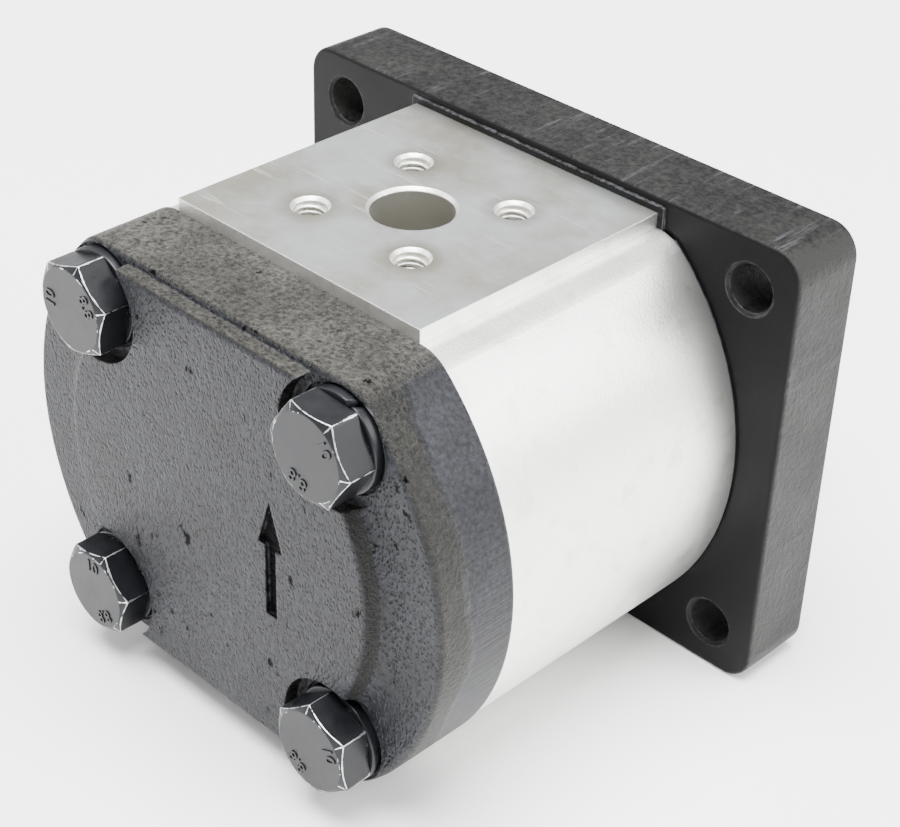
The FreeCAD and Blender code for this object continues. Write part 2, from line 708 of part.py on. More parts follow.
def make_rear_cover():
    """Rear casting: a shouldered plate, a raised face with concave walls, bolt pockets and an arrow."""
    body = new_body("rear_cover_body", middle_x, rear_joint)
    outside = new_sketch(body, "cover_outside", "XZ_Plane")
    barrel_outline(outside, cover_radius, cover_flat)
    pad(body, "cover_plate", outside, S.cover_thickness)
    corner = root(cover_radius * cover_radius - cover_flat * cover_flat)
    dress(body, "cover_corners", "Fillet", S.cover_corner,
          lambda edge: edge_along_y(edge, corner.value, cover_flat.value))
    shoulder = -S.cover_thickness
    face = shoulder - S.boss_height
    foot = cover_radius - S.shoulder_width
    boss_radius = foot - S.boss_flank
    boss_top = cover_flat - S.boss_step
    boss_side = bolt_x - S.boss_side_inset
    hollow = (S.boss_flank * S.boss_flank + S.boss_height * S.boss_height) / (2 * S.boss_height)
    blank = new_sketch(body, "boss_blank_outline", "XZ_Plane", S.cover_thickness)
    barrel_outline(blank, foot, boss_top)
    pad(body, "boss_blank", blank, S.boss_height)
    turn(body, "boss_wall",
         [(boss_radius, face), (foot, shoulder), (foot + OVERSHOOT, shoulder), (foot + OVERSHOOT, face)],
         "PartDesign::Groove", {0: (foot, shoulder - hollow, False)})
    band = new_sketch(body, "boss_band_outline", "XZ_Plane", S.cover_thickness)
    add_outline(band, [(-boss_side, -boss_top), (boss_side, -boss_top),
                       (boss_side, boss_top), (-boss_side, boss_top)])
    pad(body, "boss_band", band, S.boss_height)

    pockets = new_sketch(body, "bolt_pockets_outline", "XZ_Plane", S.cover_thickness)
    seats = new_sketch(body, "spotfaces_outline", "XZ_Plane", S.cover_thickness)
    holes = new_sketch(body, "cover_bolt_holes_outline", "XZ_Plane", S.cover_thickness)
    for x, z, _, _ in bolt_places():
        add_circle(pockets, x, z, pocket_radius)
        add_circle(seats, x, z, spotface_radius)
        add_circle(holes, x, z, bolt_hole)
    pocket(body, "bolt_pockets", pockets, reverse=True)
    dress(body, "cover_edges", "Fillet", S.cover_edge,
          lambda edge: edge_in_plane(edge, shoulder.value)
          and (round_edge(edge, cover_radius.value)
               or abs(abs(edge.CenterOfMass.z) - cover_flat.value) < 0.01))
    dress(body, "boss_edges", "Fillet", S.boss_edge,
          lambda edge: edge_in_plane(edge, face.value)
          and (isinstance(edge.Curve, Part.Line) or round_edge(edge, boss_radius.value)))
    pocket(body, "spotfaces", seats, S.spotface_depth)
    pocket(body, "cover_bolt_holes", holes)
    dowels = new_sketch(body, "cover_dowel_holes_outline", "XZ_Plane")
    for side in (-1, 1):
        add_circle(dowels, side * dowel_x, 0, dowel_radius)
    pocket(body, "cover_dowel_holes", dowels, dowel_hole_depth, reverse=True)

    arrow = new_sketch(body, "arrow_outline", "XZ_Plane", S.cover_thickness + S.boss_height)
    tip = S.arrow_length / 2
    neck = tip - S.arrow_head_length
    stem, barb = S.arrow_stem_width / 2, S.arrow_head_width / 2
    add_outline(arrow, [(half_centres + x, z) for x, z in (
        (-stem, -tip), (stem, -tip), (stem, neck), (barb, neck), (0, tip), (-barb, neck), (-stem, neck))])
    pocket(body, "arrow", arrow, S.arrow_depth)
    node(body, "rear_cover")


# ---------------------------------------------------------------- gears, shafts and what turns with them


def gear_outline(phase):
    """One face of a gear, square to Y, with a tooth at the angle given as phase."""
    pitch = 2 * math.pi / GEAR_TEETH
    thickness = (gear_module * (math.pi / 2 + 2 * PROFILE_SHIFT * math.tan(PRESSURE_ANGLE))
                 - S.tooth_backlash.value)
    half_tooth = thickness / (2 * pitch_radius) + involute(PRESSURE_ANGLE)

    def point(radius, angle):
        return Vector(radius * math.cos(angle), 0, radius * math.sin(angle))

    def half_angle(radius):
        return half_tooth - involute(math.acos(min(1, base_radius / radius)))

    radii = [base_radius + (gear_tip_radius - base_radius) * i / (FLANK_POINTS - 1)
             for i in range(FLANK_POINTS)]
    edges = []
    for tooth in range(GEAR_TEETH):
        middle = phase + tooth * pitch
        rising = [point(radius, middle - half_angle(radius)) for radius in radii]
        falling = [point(radius, middle + half_angle(radius)) for radius in reversed(radii)]
        foot = point(gear_root_radius, middle - half_angle(base_radius))
        heel = point(gear_root_radius, middle + half_angle(base_radius))
        next_foot = point(gear_root_radius, middle + pitch - half_angle(base_radius))
        edges.append(Part.makeLine(foot, rising[0]))
        for flank in (rising, falling):
            curve = Part.BSplineCurve()
            curve.interpolate(flank)
            if flank is falling:
                edges.append(Part.Arc(rising[-1], point(gear_tip_radius, middle), falling[0]).toShape())
            edges.append(curve.toShape())
        edges.append(Part.makeLine(falling[-1], heel))
        edges.append(Part.Arc(heel, point(gear_root_radius, middle + pitch / 2), next_foot).toShape())
    return Part.Face(Part.Wire(edges))


def gear_teeth(name, x, phase):
    """The toothed part of a shaft, from its outline and the gear's width."""
    outline = doc.addObject("Part::Feature", f"{name}_outline")
    outline.Shape = gear_outline(phase)
    place(outline, x, gear_front)
    teeth = doc.addObject("Part::Extrusion", f"{name}_teeth")
    teeth.Base = outline
    teeth.DirMode = "Custom"
    teeth.Dir = Vector(0, -1, 0)
    teeth.Solid = True
    bind(teeth, "LengthFwd", S.gear_width)
    return teeth


def make_drive_gear_shaft():
    """Drive gear in one piece with its journals, the seal journal, the 1:5 taper and the thread."""
    body = new_body("drive_shaft_body")
    rear_end = rear_joint + S.journal_end_gap
    chamfer = S.journal_chamfer
    turn(body, "drive_shaft", [
        (0, rear_end), (journal_radius - chamfer, rear_end), (journal_radius, rear_end + chamfer),
        (journal_radius, S.seal_journal_end), (taper_radius, S.seal_journal_end),
        (taper_end_radius, taper_end), (core_radius, taper_end),
        (core_radius, thread_end - S.thread_chamfer),
        (core_radius - S.thread_chamfer, thread_end), (0, thread_end)])
    whole = fuse("drive_shaft_and_teeth", [body, gear_teeth("drive_gear", 0, math.pi)])
    seat = key_disc("key_seat")
    node(cut("drive_gear_shaft_cut", whole, seat), "drive_gear_shaft")


def make_idler_gear_shaft():
    """Idler gear in one piece with its two journals. A tooth gap faces the drive gear."""
    body = new_body("idler_shaft_body", -S.centre_distance)
    rear_end = rear_joint + S.journal_end_gap
    front_end = front_joint - S.journal_end_gap
    chamfer = S.journal_chamfer
    turn(body, "idler_shaft", [
        (0, rear_end), (journal_radius - chamfer, rear_end), (journal_radius, rear_end + chamfer),
        (journal_radius, front_end - chamfer), (journal_radius - chamfer, front_end), (0, front_end)])
    teeth = gear_teeth("idler_gear", -S.centre_distance, math.pi / GEAR_TEETH)
    node(fuse("idler_shaft_and_teeth", [body, teeth]), "idler_gear_shaft")


def key_disc(name):
    """The round disc that a half-moon key is cut from, standing along the shaft."""
    disc = doc.addObject("Part::Cylinder", name)
    bind(disc, "Radius", S.key_circle / 2)
    bind(disc, "Height", S.key_width)
    place(disc, -S.key_width / 2, key_middle, key_centre, Rotation(Vector(0, 1, 0), 90))
    return disc


def make_shaft_key():
    """Half-moon key in the taper."""
    block = doc.addObject("Part::Box", "key_height_limit")
    for prop, size in (("Length", S.key_width), ("Width", S.key_circle), ("Height", S.key_height)):
        bind(block, prop, size)
    place(block, -S.key_width / 2, key_middle - S.key_circle / 2, key_top - S.key_height)
    node(common("shaft_key_shape", [key_disc("key_disc"), block]), "shaft_key")


def hexagon(name, flats, height, x, y, z, turned):
    """A hexagonal prism that runs towards -Y. turned is the angle of one of its corners in degrees."""
    item = doc.addObject("Part::Prism", name)
    item.Polygon = 6
    bind(item, "Circumradius", flats / (2 * math.cos(math.pi / 6)))
    bind(item, "Height", height)
    place(item, x, y, z, ALONG_MINUS_Y * Rotation(Vector(0, 0, 1), turned))
    return item


def chamfer_cone(name, flats, height, x, y, z, rotation):
    """A cone over a hexagon that leaves a round flat top and chamfers its corners."""
    top = flats / 2 * HEX_LAND
    item = doc.addObject("Part::Cone", name)
    bind(item, "Radius1", top + height / math.tan(HEX_CHAMFER))
    bind(item, "Radius2", top)
    bind(item, "Height", height)
    place(item, x, y, z, rotation)
    return item


def split_washer(name, outer, inner, thickness, x, y, z, turned):
    """A spring washer that lies from y towards -Y, with a slanting split at an angle in degrees."""
    ring = cut(f"{name}_ring", cylinder(f"{name}_disc", outer, thickness, x, y, z),
               cylinder(f"{name}_hole", inner, thickness, x, y, z))
    slot = doc.addObject("Part::Box", f"{name}_split")
    bind(slot, "Length", outer + OVERSHOOT)
    bind(slot, "Width", S.washer_split)
    bind(slot, "Height", thickness + 2 * OVERSHOOT)
    slant = Rotation(Vector(1, 0, 0), SPLIT_SLANT)
    place(slot, x, y + OVERSHOOT, z, ALONG_MINUS_Y * Rotation(Vector(0, 0, 1), turned) * slant)
    return cut(name, ring, slot)


def make_shaft_nut():
    """Nut on the shaft's end and the spring washer under it."""
    hole = thread_radius + S.thread_gap
    washer_radius = hole + S.lock_washer_section
    flats = 2 * (thread_radius + S.nut_wall)
    washer_front = taper_end + S.lock_washer_thickness
    node(split_washer("shaft_lock_washer_shape", washer_radius, hole, S.lock_washer_thickness,
                      0, washer_front, 0, 40), "shaft_lock_washer")
    nut_front = washer_front + S.nut_height
    blank = common("nut_blank", [
        hexagon("nut_hexagon", flats, S.nut_height, 0, nut_front, 0, 0),
        chamfer_cone("nut_chamfer", flats, S.nut_height, 0, washer_front, 0,
                     Rotation(Vector(1, 0, 0), -90))])
    thread = cylinder("nut_thread", core_radius + S.thread_gap, S.nut_height, 0, nut_front)
    node(cut("shaft_nut_shape", blank, thread), "shaft_nut")


# ---------------------------------------------------------------- bearings and seals


def turned_part(label, points, x=0, y=0):
    """A round sub-part, turned about its own Y axis and put in its place."""
    body = new_body(f"{label}_body", x, y)
    turn(body, f"{label}_turned", points)
    return node(body, label)


def strip_round_journals(name, inner, outer, web):
    """Strips that lie half way round below both journals on a block's outer face.

    web, when given, is half the width of the web that joins the two strips between the journals.
    The strips start at the outer face and go in by the groove's depth.
    """
    depth = S.pressure_seal_depth
    pieces = []
    for side, start in (("left", -half_centres), ("right", half_centres)):
        disc = cylinder(f"{name}_{side}_disc", outer, depth, start, 0, 0, angle=180, spin=180)
        hole = cylinder(f"{name}_{side}_hole", inner, depth, start)
        pieces.append(cut(f"{name}_{side}_strip", disc, hole))
    if web:
        bridge = doc.addObject("Part::Box", f"{name}_web")
        bind(bridge, "Length", 2 * web)
        bind(bridge, "Width", depth)
        bind(bridge, "Height", 2 * web)
        place(bridge, -web, -depth, -2 * web)
        pieces.append(bridge)
    return fuse(name, pieces)


def make_bearing_block(end, y, rotation):
    """One bearing block with its bushes' bores, its seal strips and the oil relief beside the gears.

    It is made as the front block, its outer face at y = 0, and turned round for the rear.
    """
    body = new_body(f"{end}_block_body")
    outside = new_sketch(body, f"{end}_block_outline", "XZ_Plane")
    twin_outline(outside, block_radius)
    pad(body, f"{end}_block", outside, block_length)
    bores = new_sketch(body, f"{end}_block_bores_outline", "XZ_Plane")
    for side in (-1, 1):
        add_circle(bores, side * half_centres, 0, bush_outer)
    pocket(body, f"{end}_block_bores", bores, reverse=True)
    relief = new_sketch(body, f"{end}_relief_outline", "XZ_Plane", block_length)
    for low in (S.relief_start, -S.relief_start - S.relief_height):
        add_outline(relief, [(-S.relief_width / 2, low), (S.relief_width / 2, low),
                             (S.relief_width / 2, low + S.relief_height),
                             (-S.relief_width / 2, low + S.relief_height)])
    pocket(body, f"{end}_relief", relief, S.relief_depth)

    strip_middle = (bush_outer + block_radius) / 2
    strip_outer = strip_middle + S.pressure_seal_width
    backup_inner = strip_middle - S.backup_width
    web = half_centres - strip_middle - S.seal_side_gap
    gap = S.seal_side_gap
    groove = strip_round_journals(f"{end}_groove", backup_inner - gap, strip_outer + gap, web + gap)
    seal = strip_round_journals(f"{end}_pressure_seal_shape", strip_middle, strip_outer, web)
    backup = strip_round_journals(f"{end}_backup_shape", backup_inner, strip_middle - gap, None)
    block = cut(f"{end}_bearing_block_shape", body, groove)
    for item, label in ((block, "bearing_block"), (seal, "pressure_seal"), (backup, "backup_strips")):
        place(item, middle_x, y, 0, rotation)
        node(item, f"{end}_{label}")


def make_bushes():
    """Four bearing bushes, two pressed into each block."""
    for end, start in (("front", gear_front + S.side_gap + S.bush_setback),
                       ("rear", gear_rear - S.side_gap - S.bush_setback - bush_length)):
        for shaft, x in (("drive", 0), ("idler", -S.centre_distance)):
            turned_part(f"{end}_{shaft}_bush", [
                (bush_inner, 0), (bush_outer, 0), (bush_outer, bush_length),
                (bush_inner, bush_length)], x, start)


def make_body_seals():
    """Flat seal in each end of the body."""
    for end, start in (("front", front_joint), ("rear", rear_joint + S.body_seal_depth)):
        body = new_body(f"{end}_body_seal_body", middle_x, start)
        outline = new_sketch(body, f"{end}_body_seal_outline", "XZ_Plane")
        stadium_outline(outline, seal_inner + S.seal_side_gap)
        stadium_outline(outline, seal_outer - S.seal_side_gap)
        pad(body, f"{end}_body_seal_pad", outline, S.body_seal_depth)
        node(body, f"{end}_body_seal")


def make_shaft_seal():
    """Shaft seal in three pieces: steel case, rubber lip and garter spring."""
    front = S.lip_seal_length
    wall, radius = S.case_wall, lip_seal_radius
    web_inner = radius - S.case_web
    turned_part("shaft_seal_case", [
        (radius - wall, 0), (radius, 0), (radius, front), (web_inner, front), (web_inner, front - wall),
        (radius - wall, front - wall)], 0, lip_seal_floor)
    lip = journal_radius + S.lip_gap
    waist = (lip + web_inner) / 2
    turned_part("shaft_seal_lip", [
        (lip, S.lip_edge), (waist + S.lip_rubber / 2, S.lip_heel), (waist + S.lip_rubber, S.lip_waist),
        (radius - wall, S.lip_root), (radius - wall, front - wall), (web_inner, front - wall),
        (waist, S.lip_root)], 0, lip_seal_floor)
    spring = doc.addObject("Part::Torus", "garter_spring")
    bind(spring, "Radius1", waist + S.lip_rubber + S.garter_gap + S.garter_wire)
    bind(spring, "Radius2", S.garter_wire)
    place(spring, 0, lip_seal_floor + S.lip_edge, 0, ALONG_MINUS_Y)
    node(spring, "shaft_seal_spring")


def make_retaining_ring():
    """Open retaining ring in front of the shaft seal, with a lug and a plier hole at each end."""
    outer = lip_seal_radius + S.circlip_groove_depth - S.circlip_play
    inner = outer - S.circlip_section
    thickness = S.circlip_thickness
    front = circlip_front - (S.circlip_groove - thickness) / 2
    lug = S.circlip_lug
    lug_x = S.circlip_opening / 2 + lug
    lug_reach = lip_seal_radius - lug - S.circlip_lug_gap
    lug_z = -root(lug_reach * lug_reach - lug_x * lug_x)
    ring = cut("retaining_ring_hoop", cylinder("retaining_ring_disc", outer, thickness, 0, front),
               cylinder("retaining_ring_hole", inner, thickness, 0, front))
    opening = doc.addObject("Part::Box", "retaining_ring_opening")
    bind(opening, "Length", S.circlip_opening)
    bind(opening, "Width", thickness + 2 * OVERSHOOT)
    bind(opening, "Height", outer)
    place(opening, -S.circlip_opening / 2, front - thickness - OVERSHOOT, -outer - OVERSHOOT)
    hoop = cut("retaining_ring_open", ring, opening)
    lugs, holes = [], []
    for side in (-1, 1):
        lugs.append(cylinder(f"retaining_ring_lug_{side + 2}", lug, thickness, side * lug_x, front, lug_z))
        holes.append(cylinder(f"retaining_ring_plier_hole_{side + 2}", S.plier_hole, thickness,
                              side * lug_x, front, lug_z))
    whole = fuse("retaining_ring_with_lugs", [hoop, *lugs])
    node(cut("retaining_ring_shape", whole, fuse("plier_holes", holes)), "retaining_ring")


# ---------------------------------------------------------------- fasteners


def make_dowels():
    """Two locating pins across each joint."""
    for end, joint in (("front", front_joint), ("rear", rear_joint)):
        pins = [cylinder(f"{end}_dowel_{side + 2}", dowel_radius, S.dowel_length,
                         middle_x + side * dowel_x, joint + S.dowel_length / 2) for side in (-1, 1)]
        node(group(f"{end}_dowel_pair", pins), f"{end}_dowels")


def make_cover_bolts():
    """Four long hexagon bolts from the rear cover through the body into the flange, on spring washers."""
    seat = rear_joint + washer_seat
    under_head = seat - S.washer_thickness
    tip = front_joint + bolt_engagement
    bolts, washers = [], []
    for i, (x, z, head_turn, split_turn) in enumerate(bolt_places(), 1):
        x = middle_x + x
        head = common(f"bolt_head_{i}", [
            hexagon(f"bolt_hexagon_{i}", S.bolt_flats, S.bolt_head, x, under_head, z, head_turn),
            chamfer_cone(f"bolt_chamfer_{i}", S.bolt_flats, S.bolt_head, x, under_head, z,
                         ALONG_MINUS_Y)])
        shank = cylinder(f"bolt_shank_{i}", bolt_radius, tip - under_head, x, tip, z)
        bolts.append(fuse(f"bolt_{i}", [head, shank]))
        washers.append(split_washer(f"spring_washer_{i}", washer_outer, washer_inner,
                                    S.washer_thickness, x, seat, z, split_turn))
    node(group("cover_bolt_set", bolts), "cover_bolts")
    node(group("spring_washer_set", washers), "spring_washers")


# ---------------------------------------------------------------- build, check and write

make_mounting_flange()
make_pump_body()
make_rear_cover()
make_drive_gear_shaft()
make_idler_gear_shaft()
make_shaft_key()
make_shaft_nut()
for block_end, block_y, block_turn in (("front", front_joint, 0), ("rear", rear_joint, 180)):
    make_bearing_block(block_end, block_y, Rotation(Vector(0, 0, 1), block_turn))
make_bushes()
make_body_seals()
make_shaft_seal()
make_retaining_ring()
make_dowels()
make_cover_bolts()

doc.recompute()
for item in doc.Objects:
    if "Invalid" in item.State or "Error" in item.State:
        raise ValueError(f"{item.Name} failed: {item.State}")
for item in nodes:
    if item.Shape.isNull() or not item.Shape.isValid() or not item.Shape.Solids:
        raise ValueError(f"{item.Label} has no valid solid")
os.makedirs("parts", exist_ok=True)
for item in nodes:
    item.Shape.exportStep(f"parts/{item.Label}.step")
    print(f"{item.Label}: {len(item.Shape.Solids)} solid(s), {item.Shape.Volume / 1000:.3f} cm3")
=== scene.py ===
"""Gear pump, dressed: finishes for every casting, shaft and seal, and the pieces that give it detail.

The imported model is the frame. This file adds what a design model leaves out: hexagon heads with worn
edges, spring washers, the threads in the ports' tapped holes and on the shaft's end, and the finishes.
Lengths are metres, +Z is up, and +Y runs out along the drive shaft.
"""

import json
import math

import bmesh
import bpy
import numpy as np
from bpy.props import FloatProperty, FloatVectorProperty, PointerProperty
from mathutils import Matrix, Vector


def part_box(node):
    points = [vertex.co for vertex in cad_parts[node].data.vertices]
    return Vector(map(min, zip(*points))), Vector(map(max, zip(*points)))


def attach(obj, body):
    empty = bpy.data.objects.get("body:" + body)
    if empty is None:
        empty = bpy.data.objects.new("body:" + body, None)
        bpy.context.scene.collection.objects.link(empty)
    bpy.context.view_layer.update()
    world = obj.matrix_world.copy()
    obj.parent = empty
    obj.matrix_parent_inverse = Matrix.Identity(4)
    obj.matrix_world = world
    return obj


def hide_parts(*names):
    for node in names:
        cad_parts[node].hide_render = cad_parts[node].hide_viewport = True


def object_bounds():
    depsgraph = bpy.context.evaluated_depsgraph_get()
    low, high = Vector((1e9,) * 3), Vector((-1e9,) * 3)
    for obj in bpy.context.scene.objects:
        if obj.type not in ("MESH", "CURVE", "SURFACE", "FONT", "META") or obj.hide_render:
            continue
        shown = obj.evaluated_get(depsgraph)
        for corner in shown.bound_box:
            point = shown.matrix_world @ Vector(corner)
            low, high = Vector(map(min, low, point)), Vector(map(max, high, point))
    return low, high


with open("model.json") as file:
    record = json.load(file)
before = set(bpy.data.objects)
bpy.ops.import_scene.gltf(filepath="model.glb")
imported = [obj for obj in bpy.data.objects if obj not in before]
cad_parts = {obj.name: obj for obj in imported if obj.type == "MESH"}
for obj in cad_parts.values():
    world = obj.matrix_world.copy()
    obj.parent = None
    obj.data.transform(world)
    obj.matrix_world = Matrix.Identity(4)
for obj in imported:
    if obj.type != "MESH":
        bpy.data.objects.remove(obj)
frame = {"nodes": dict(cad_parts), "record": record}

cad_box = [list(corner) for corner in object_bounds()]

bl_info = {
    "name": "Gear pump finish",
    "version": (1, 0, 0),
    "blender": (4, 5, 0),
    "location": "3D View > Sidebar > Gear Pump",
    "description": "Adds the screws, threads and finishes of a flanged gear pump",
    "category": "Object",
}

MM = 0.001
MOUNTS = {mount["name"]: mount for mount in frame["record"]["mounts"]}

# Each cover bolt: side, height, turn of the head's corner, turn of its washer's split, turn of its mark.
COVER_BOLTS = ((-1, 1, 136.5, 205, 28), (1, 1, 117.0, 66, 250), (-1, -1, 131.0, 310, 300),
               (1, -1, 96.0, 150, 235))

# Each soft lamp: turn to the right of the rear and height in degrees, distance and width in metres, watts.
LAMPS = (("overhead", 20, 84, 1.6, 1.4, 130.0), ("left", -60, 30, 1.5, 1.0, 8.0),
         ("right", 120, 30, 1.5, 1.2, 30.0))


def linear(code):
    """An sRGB hex colour as the linear red, green, blue and alpha that shaders take."""
    levels = [int(code[i:i + 2], 16) / 255 for i in (1, 3, 5)]
    return (*[v / 12.92 if v <= 0.04045 else ((v + 0.055) / 1.055) ** 2.4 for v in levels], 1.0)


def per_metre(spacing_mm):
    """A pattern's scale, from the real distance between its features in millimetres."""
    return 1 / (spacing_mm * MM)


# ---------------------------------------------------------------- what a user would change


def length(name, description, default_mm):
    """A length property, its default given in millimetres."""
    return FloatProperty(name=name, description=description, default=default_mm * MM, min=0,
                         unit="LENGTH", precision=5)


def colour(name, description, code):
    """A colour property, its default given as sRGB hex."""
    return FloatVectorProperty(name=name, description=description, default=linear(code), size=4,
                               min=0, max=1, subtype="COLOR")


class PumpSizes(bpy.types.PropertyGroup):
    """Sizes of the screws, washers and threads."""

    head_flats: length("Head flats", "Cover bolt head across its flats", 16.0)
    head_height: length("Head height", "Cover bolt head from washer to top", 6.18)
    head_land: FloatProperty(name="Head land", description="Flat top of a head, of its flats",
                             default=0.95, min=0.5, max=1, subtype="FACTOR")
    head_edge: length("Head edge", "Radius of a head's edges", 0.16)
    bolt_shank: length("Bolt shank", "Cover bolt diameter", 10.0)
    washer_outer: length("Washer outer", "Spring washer, outside diameter", 18.1)
    washer_inner: length("Washer inner", "Spring washer, inside diameter", 10.3)
    washer_edge: length("Washer edge", "Radius of a spring washer's edges", 0.35)
    washer_split: length("Washer split", "Gap cut through a spring washer", 1.0)
    mark_height: length("Mark height", "Height of the figures on a head", 2.5)
    mark_relief: length("Mark relief", "How far those figures stand up", 0.16)
    mark_circle: length("Mark circle", "Figures' distance from the middle of the head", 5.3)
    port_pitch: length("Port thread pitch", "M6 tapped holes round the ports", 1.0)
    port_thread: length("Port thread length", "Depth of the thread in those holes", 12.5)
    shaft_pitch: length("Shaft thread pitch", "M12 thread on the shaft's end", 1.5)
    shaft_crest: length("Shaft thread crest", "Outside diameter of the shaft's thread", 12.0)


class PumpColours(bpy.types.PropertyGroup):
    """Colours of the finishes."""

    cast_face: colour("Cast face", "Rear cover's black skin on its end", "#111216")
    cast_side: colour("Cast side", "Rear cover's round sides, duller and browner", "#131311")
    cast_top: colour("Cast top", "Rear cover's flats, the greyest part", "#272623")
    # painted shade: the colour that pits and the sunk arrow are painted with, standing in for the shade in
    # them
    cast_pit_shade: colour("Cast pit", "Pits in the rear cover, and the arrow's floor", "#060607")
    cast_rubbed: colour("Cast rubbed", "Rear cover's edges, where the skin is rubbed", "#4c4d50")
    coat: colour("Coat", "Flange's smooth black coating", "#0c0c0d")
    # coat_rim also carries painted light: the flange's end faces are coloured towards it, as lit
    coat_rim: colour("Coat rim", "Flange's rim, rubbed lighter", "#252524")
    coat_scratch: colour("Coat scratch", "Scratches across the flange's rim", "#46474b")
    coat_worn: colour("Coat worn", "Flange's sharp edges, where the coating is worn", "#5b5c60")
    blasted: colour("Blasted aluminium", "Round sides of the body", "#f4f4f0")
    milled: colour("Milled aluminium", "Port faces", "#dce0e1")
    milled_dull: colour("Milled, dull", "Duller patches of the port faces", "#b3b0a4")
    scratched: colour("Scratched aluminium", "Fresh scratches on the port faces", "#f0f1f0")
    bored: colour("Bored aluminium", "Walls of the ports and their tapped holes", "#cbcac2")
    stain: colour("Stain", "Faint stain on the round sides", "#b9b39f")
    oil: colour("Oil", "Oil round the ports' tapped holes", "#8d8672")
    oxide: colour("Black oxide", "Cover bolts and washers", "#0f1013")
    worn: colour("Worn edge", "Bare steel on worn edges", "#cdced1")
    steel: colour("Ground steel", "Shafts, gears and pins", "#b9babd")
    zinc: colour("Zinc plate", "Shaft nut and its washer", "#c3c5c8")
    bronze: colour("Bronze", "Bearing bushes", "#b08a54")
    die_cast: colour("Die-cast aluminium", "Bearing blocks", "#b8babc")
    pressed: colour("Pressed steel", "Shaft seal's case", "#6f7073")
    spring: colour("Spring steel", "Garter spring and retaining ring", "#4d4e52")
    rubber: colour("Rubber", "Seals", "#1d1d1e")
    plastic: colour("Plastic", "Strips behind the pressure seals", "#dcd7c4")


class PumpStage(bpy.types.PropertyGroup):
    """Camera, lights and floor."""

    eye: FloatVectorProperty(name="Eye", description="Where the camera stands", size=3, unit="LENGTH",
                             default=(0.20583, -0.26677, 0.20730), subtype="TRANSLATION")
    azimuth: FloatProperty(name="Azimuth", description="Camera's turn to the right of the rear",
                           default=math.radians(43.82), unit="ROTATION")
    elevation: FloatProperty(name="Elevation", description="Camera's angle above the horizon",
                             default=math.radians(33.53), unit="ROTATION")
    roll: FloatProperty(name="Roll", description="Camera's turn about its own line of sight",
                        default=math.radians(1.88), unit="ROTATION")
    lens: FloatProperty(name="Lens", description="Focal length on a 36 mm wide sensor", default=81.72)
    floor: colour("Floor", "Pale floor", "#f4f4f4")
    brightness: FloatProperty(name="Brightness", description="Strength of all lights", default=1.0, min=0)


# ---------------------------------------------------------------- meshes


def new_piece(name, points, faces, body, slot, material, smooth=True):
    """An object at the origin, its place in its mesh, that rides on a body."""
    mesh = bpy.data.meshes.new(name)
    mesh.from_pydata(points.reshape(-1, 3).tolist(), [], faces.tolist())
    mesh.validate()
    mesh.polygons.foreach_set("use_smooth", np.full(len(mesh.polygons), smooth))
    mesh.update()
    piece = bpy.data.objects.new(name, mesh)
    bpy.context.scene.collection.objects.link(piece)
    piece.data.materials.append(material)
    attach(piece, body)
    return piece


def grid_faces(rows, columns, close_rows=False, close_columns=False):
    """The quads of a grid of points, row by row; a closed direction joins its last line to its first."""
    last_row = rows if close_rows else rows - 1
    last_column = columns if close_columns else columns - 1
    row, column = np.meshgrid(np.arange(last_row), np.arange(last_column), indexing="ij")
    below, beside = (row + 1) % rows, (column + 1) % columns
    quads = np.stack([row * columns + column, row * columns + beside,
                      below * columns + beside, below * columns + column], axis=-1)
    return quads.reshape(-1, 4)


def stack_meshes(parts):
    """Several (points, faces) as one: each part's face numbers move up by the points before it."""
    points = np.concatenate([p.reshape(-1, 3) for p, _ in parts])
    starts = np.cumsum([0] + [p.size // 3 for p, _ in parts[:-1]])
    return points, np.concatenate([faces + start for (_, faces), start in zip(parts, starts)])


def round_corners(corners, radius, steps):
    """Round the inner corners of profiles held as an array (profiles, corners, 2).

    Each inner corner becomes a parabola from a point one radius before it to one radius after it:
    p(t) = (1-t)^2 a + 2t(1-t) corner + t^2 b. A short side shrinks the radius to 45% of that side.
    """
    before = corners[:, :-2] - corners[:, 1:-1]
    after = corners[:, 2:] - corners[:, 1:-1]
    lengths = [np.linalg.norm(side, axis=-1, keepdims=True) for side in (before, after)]
    reach = np.minimum(radius, 0.45 * np.minimum(*lengths))
    a = corners[:, 1:-1] + before / lengths[0] * reach
    b = corners[:, 1:-1] + after / lengths[1] * reach
    t = np.linspace(0, 1, steps)[:, None]
    arcs = (1 - t) ** 2 * a[:, :, None] + 2 * t * (1 - t) * corners[:, 1:-1, None] + t ** 2 * b[:, :, None]
    middle = arcs.reshape(len(corners), -1, 2)
    return np.concatenate([corners[:, :1], middle, corners[:, -1:]], axis=1)


def bolt_places():
    """Each cover bolt's x, z and turns. The bolts stand evenly about the middle of their washers' box."""
    low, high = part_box("spring_washers")
    inset = bpy.context.scene.pump_sizes.washer_outer / 2
    middle_x = (low[0] + high[0]) / 2
    reach_x, reach_z = (high[0] - low[0]) / 2 - inset, (high[2] - low[2]) / 2 - inset
    for side, level, *turns in COVER_BOLTS:
        yield middle_x + side * reach_x, level * reach_z, *[math.radians(turn) for turn in turns]


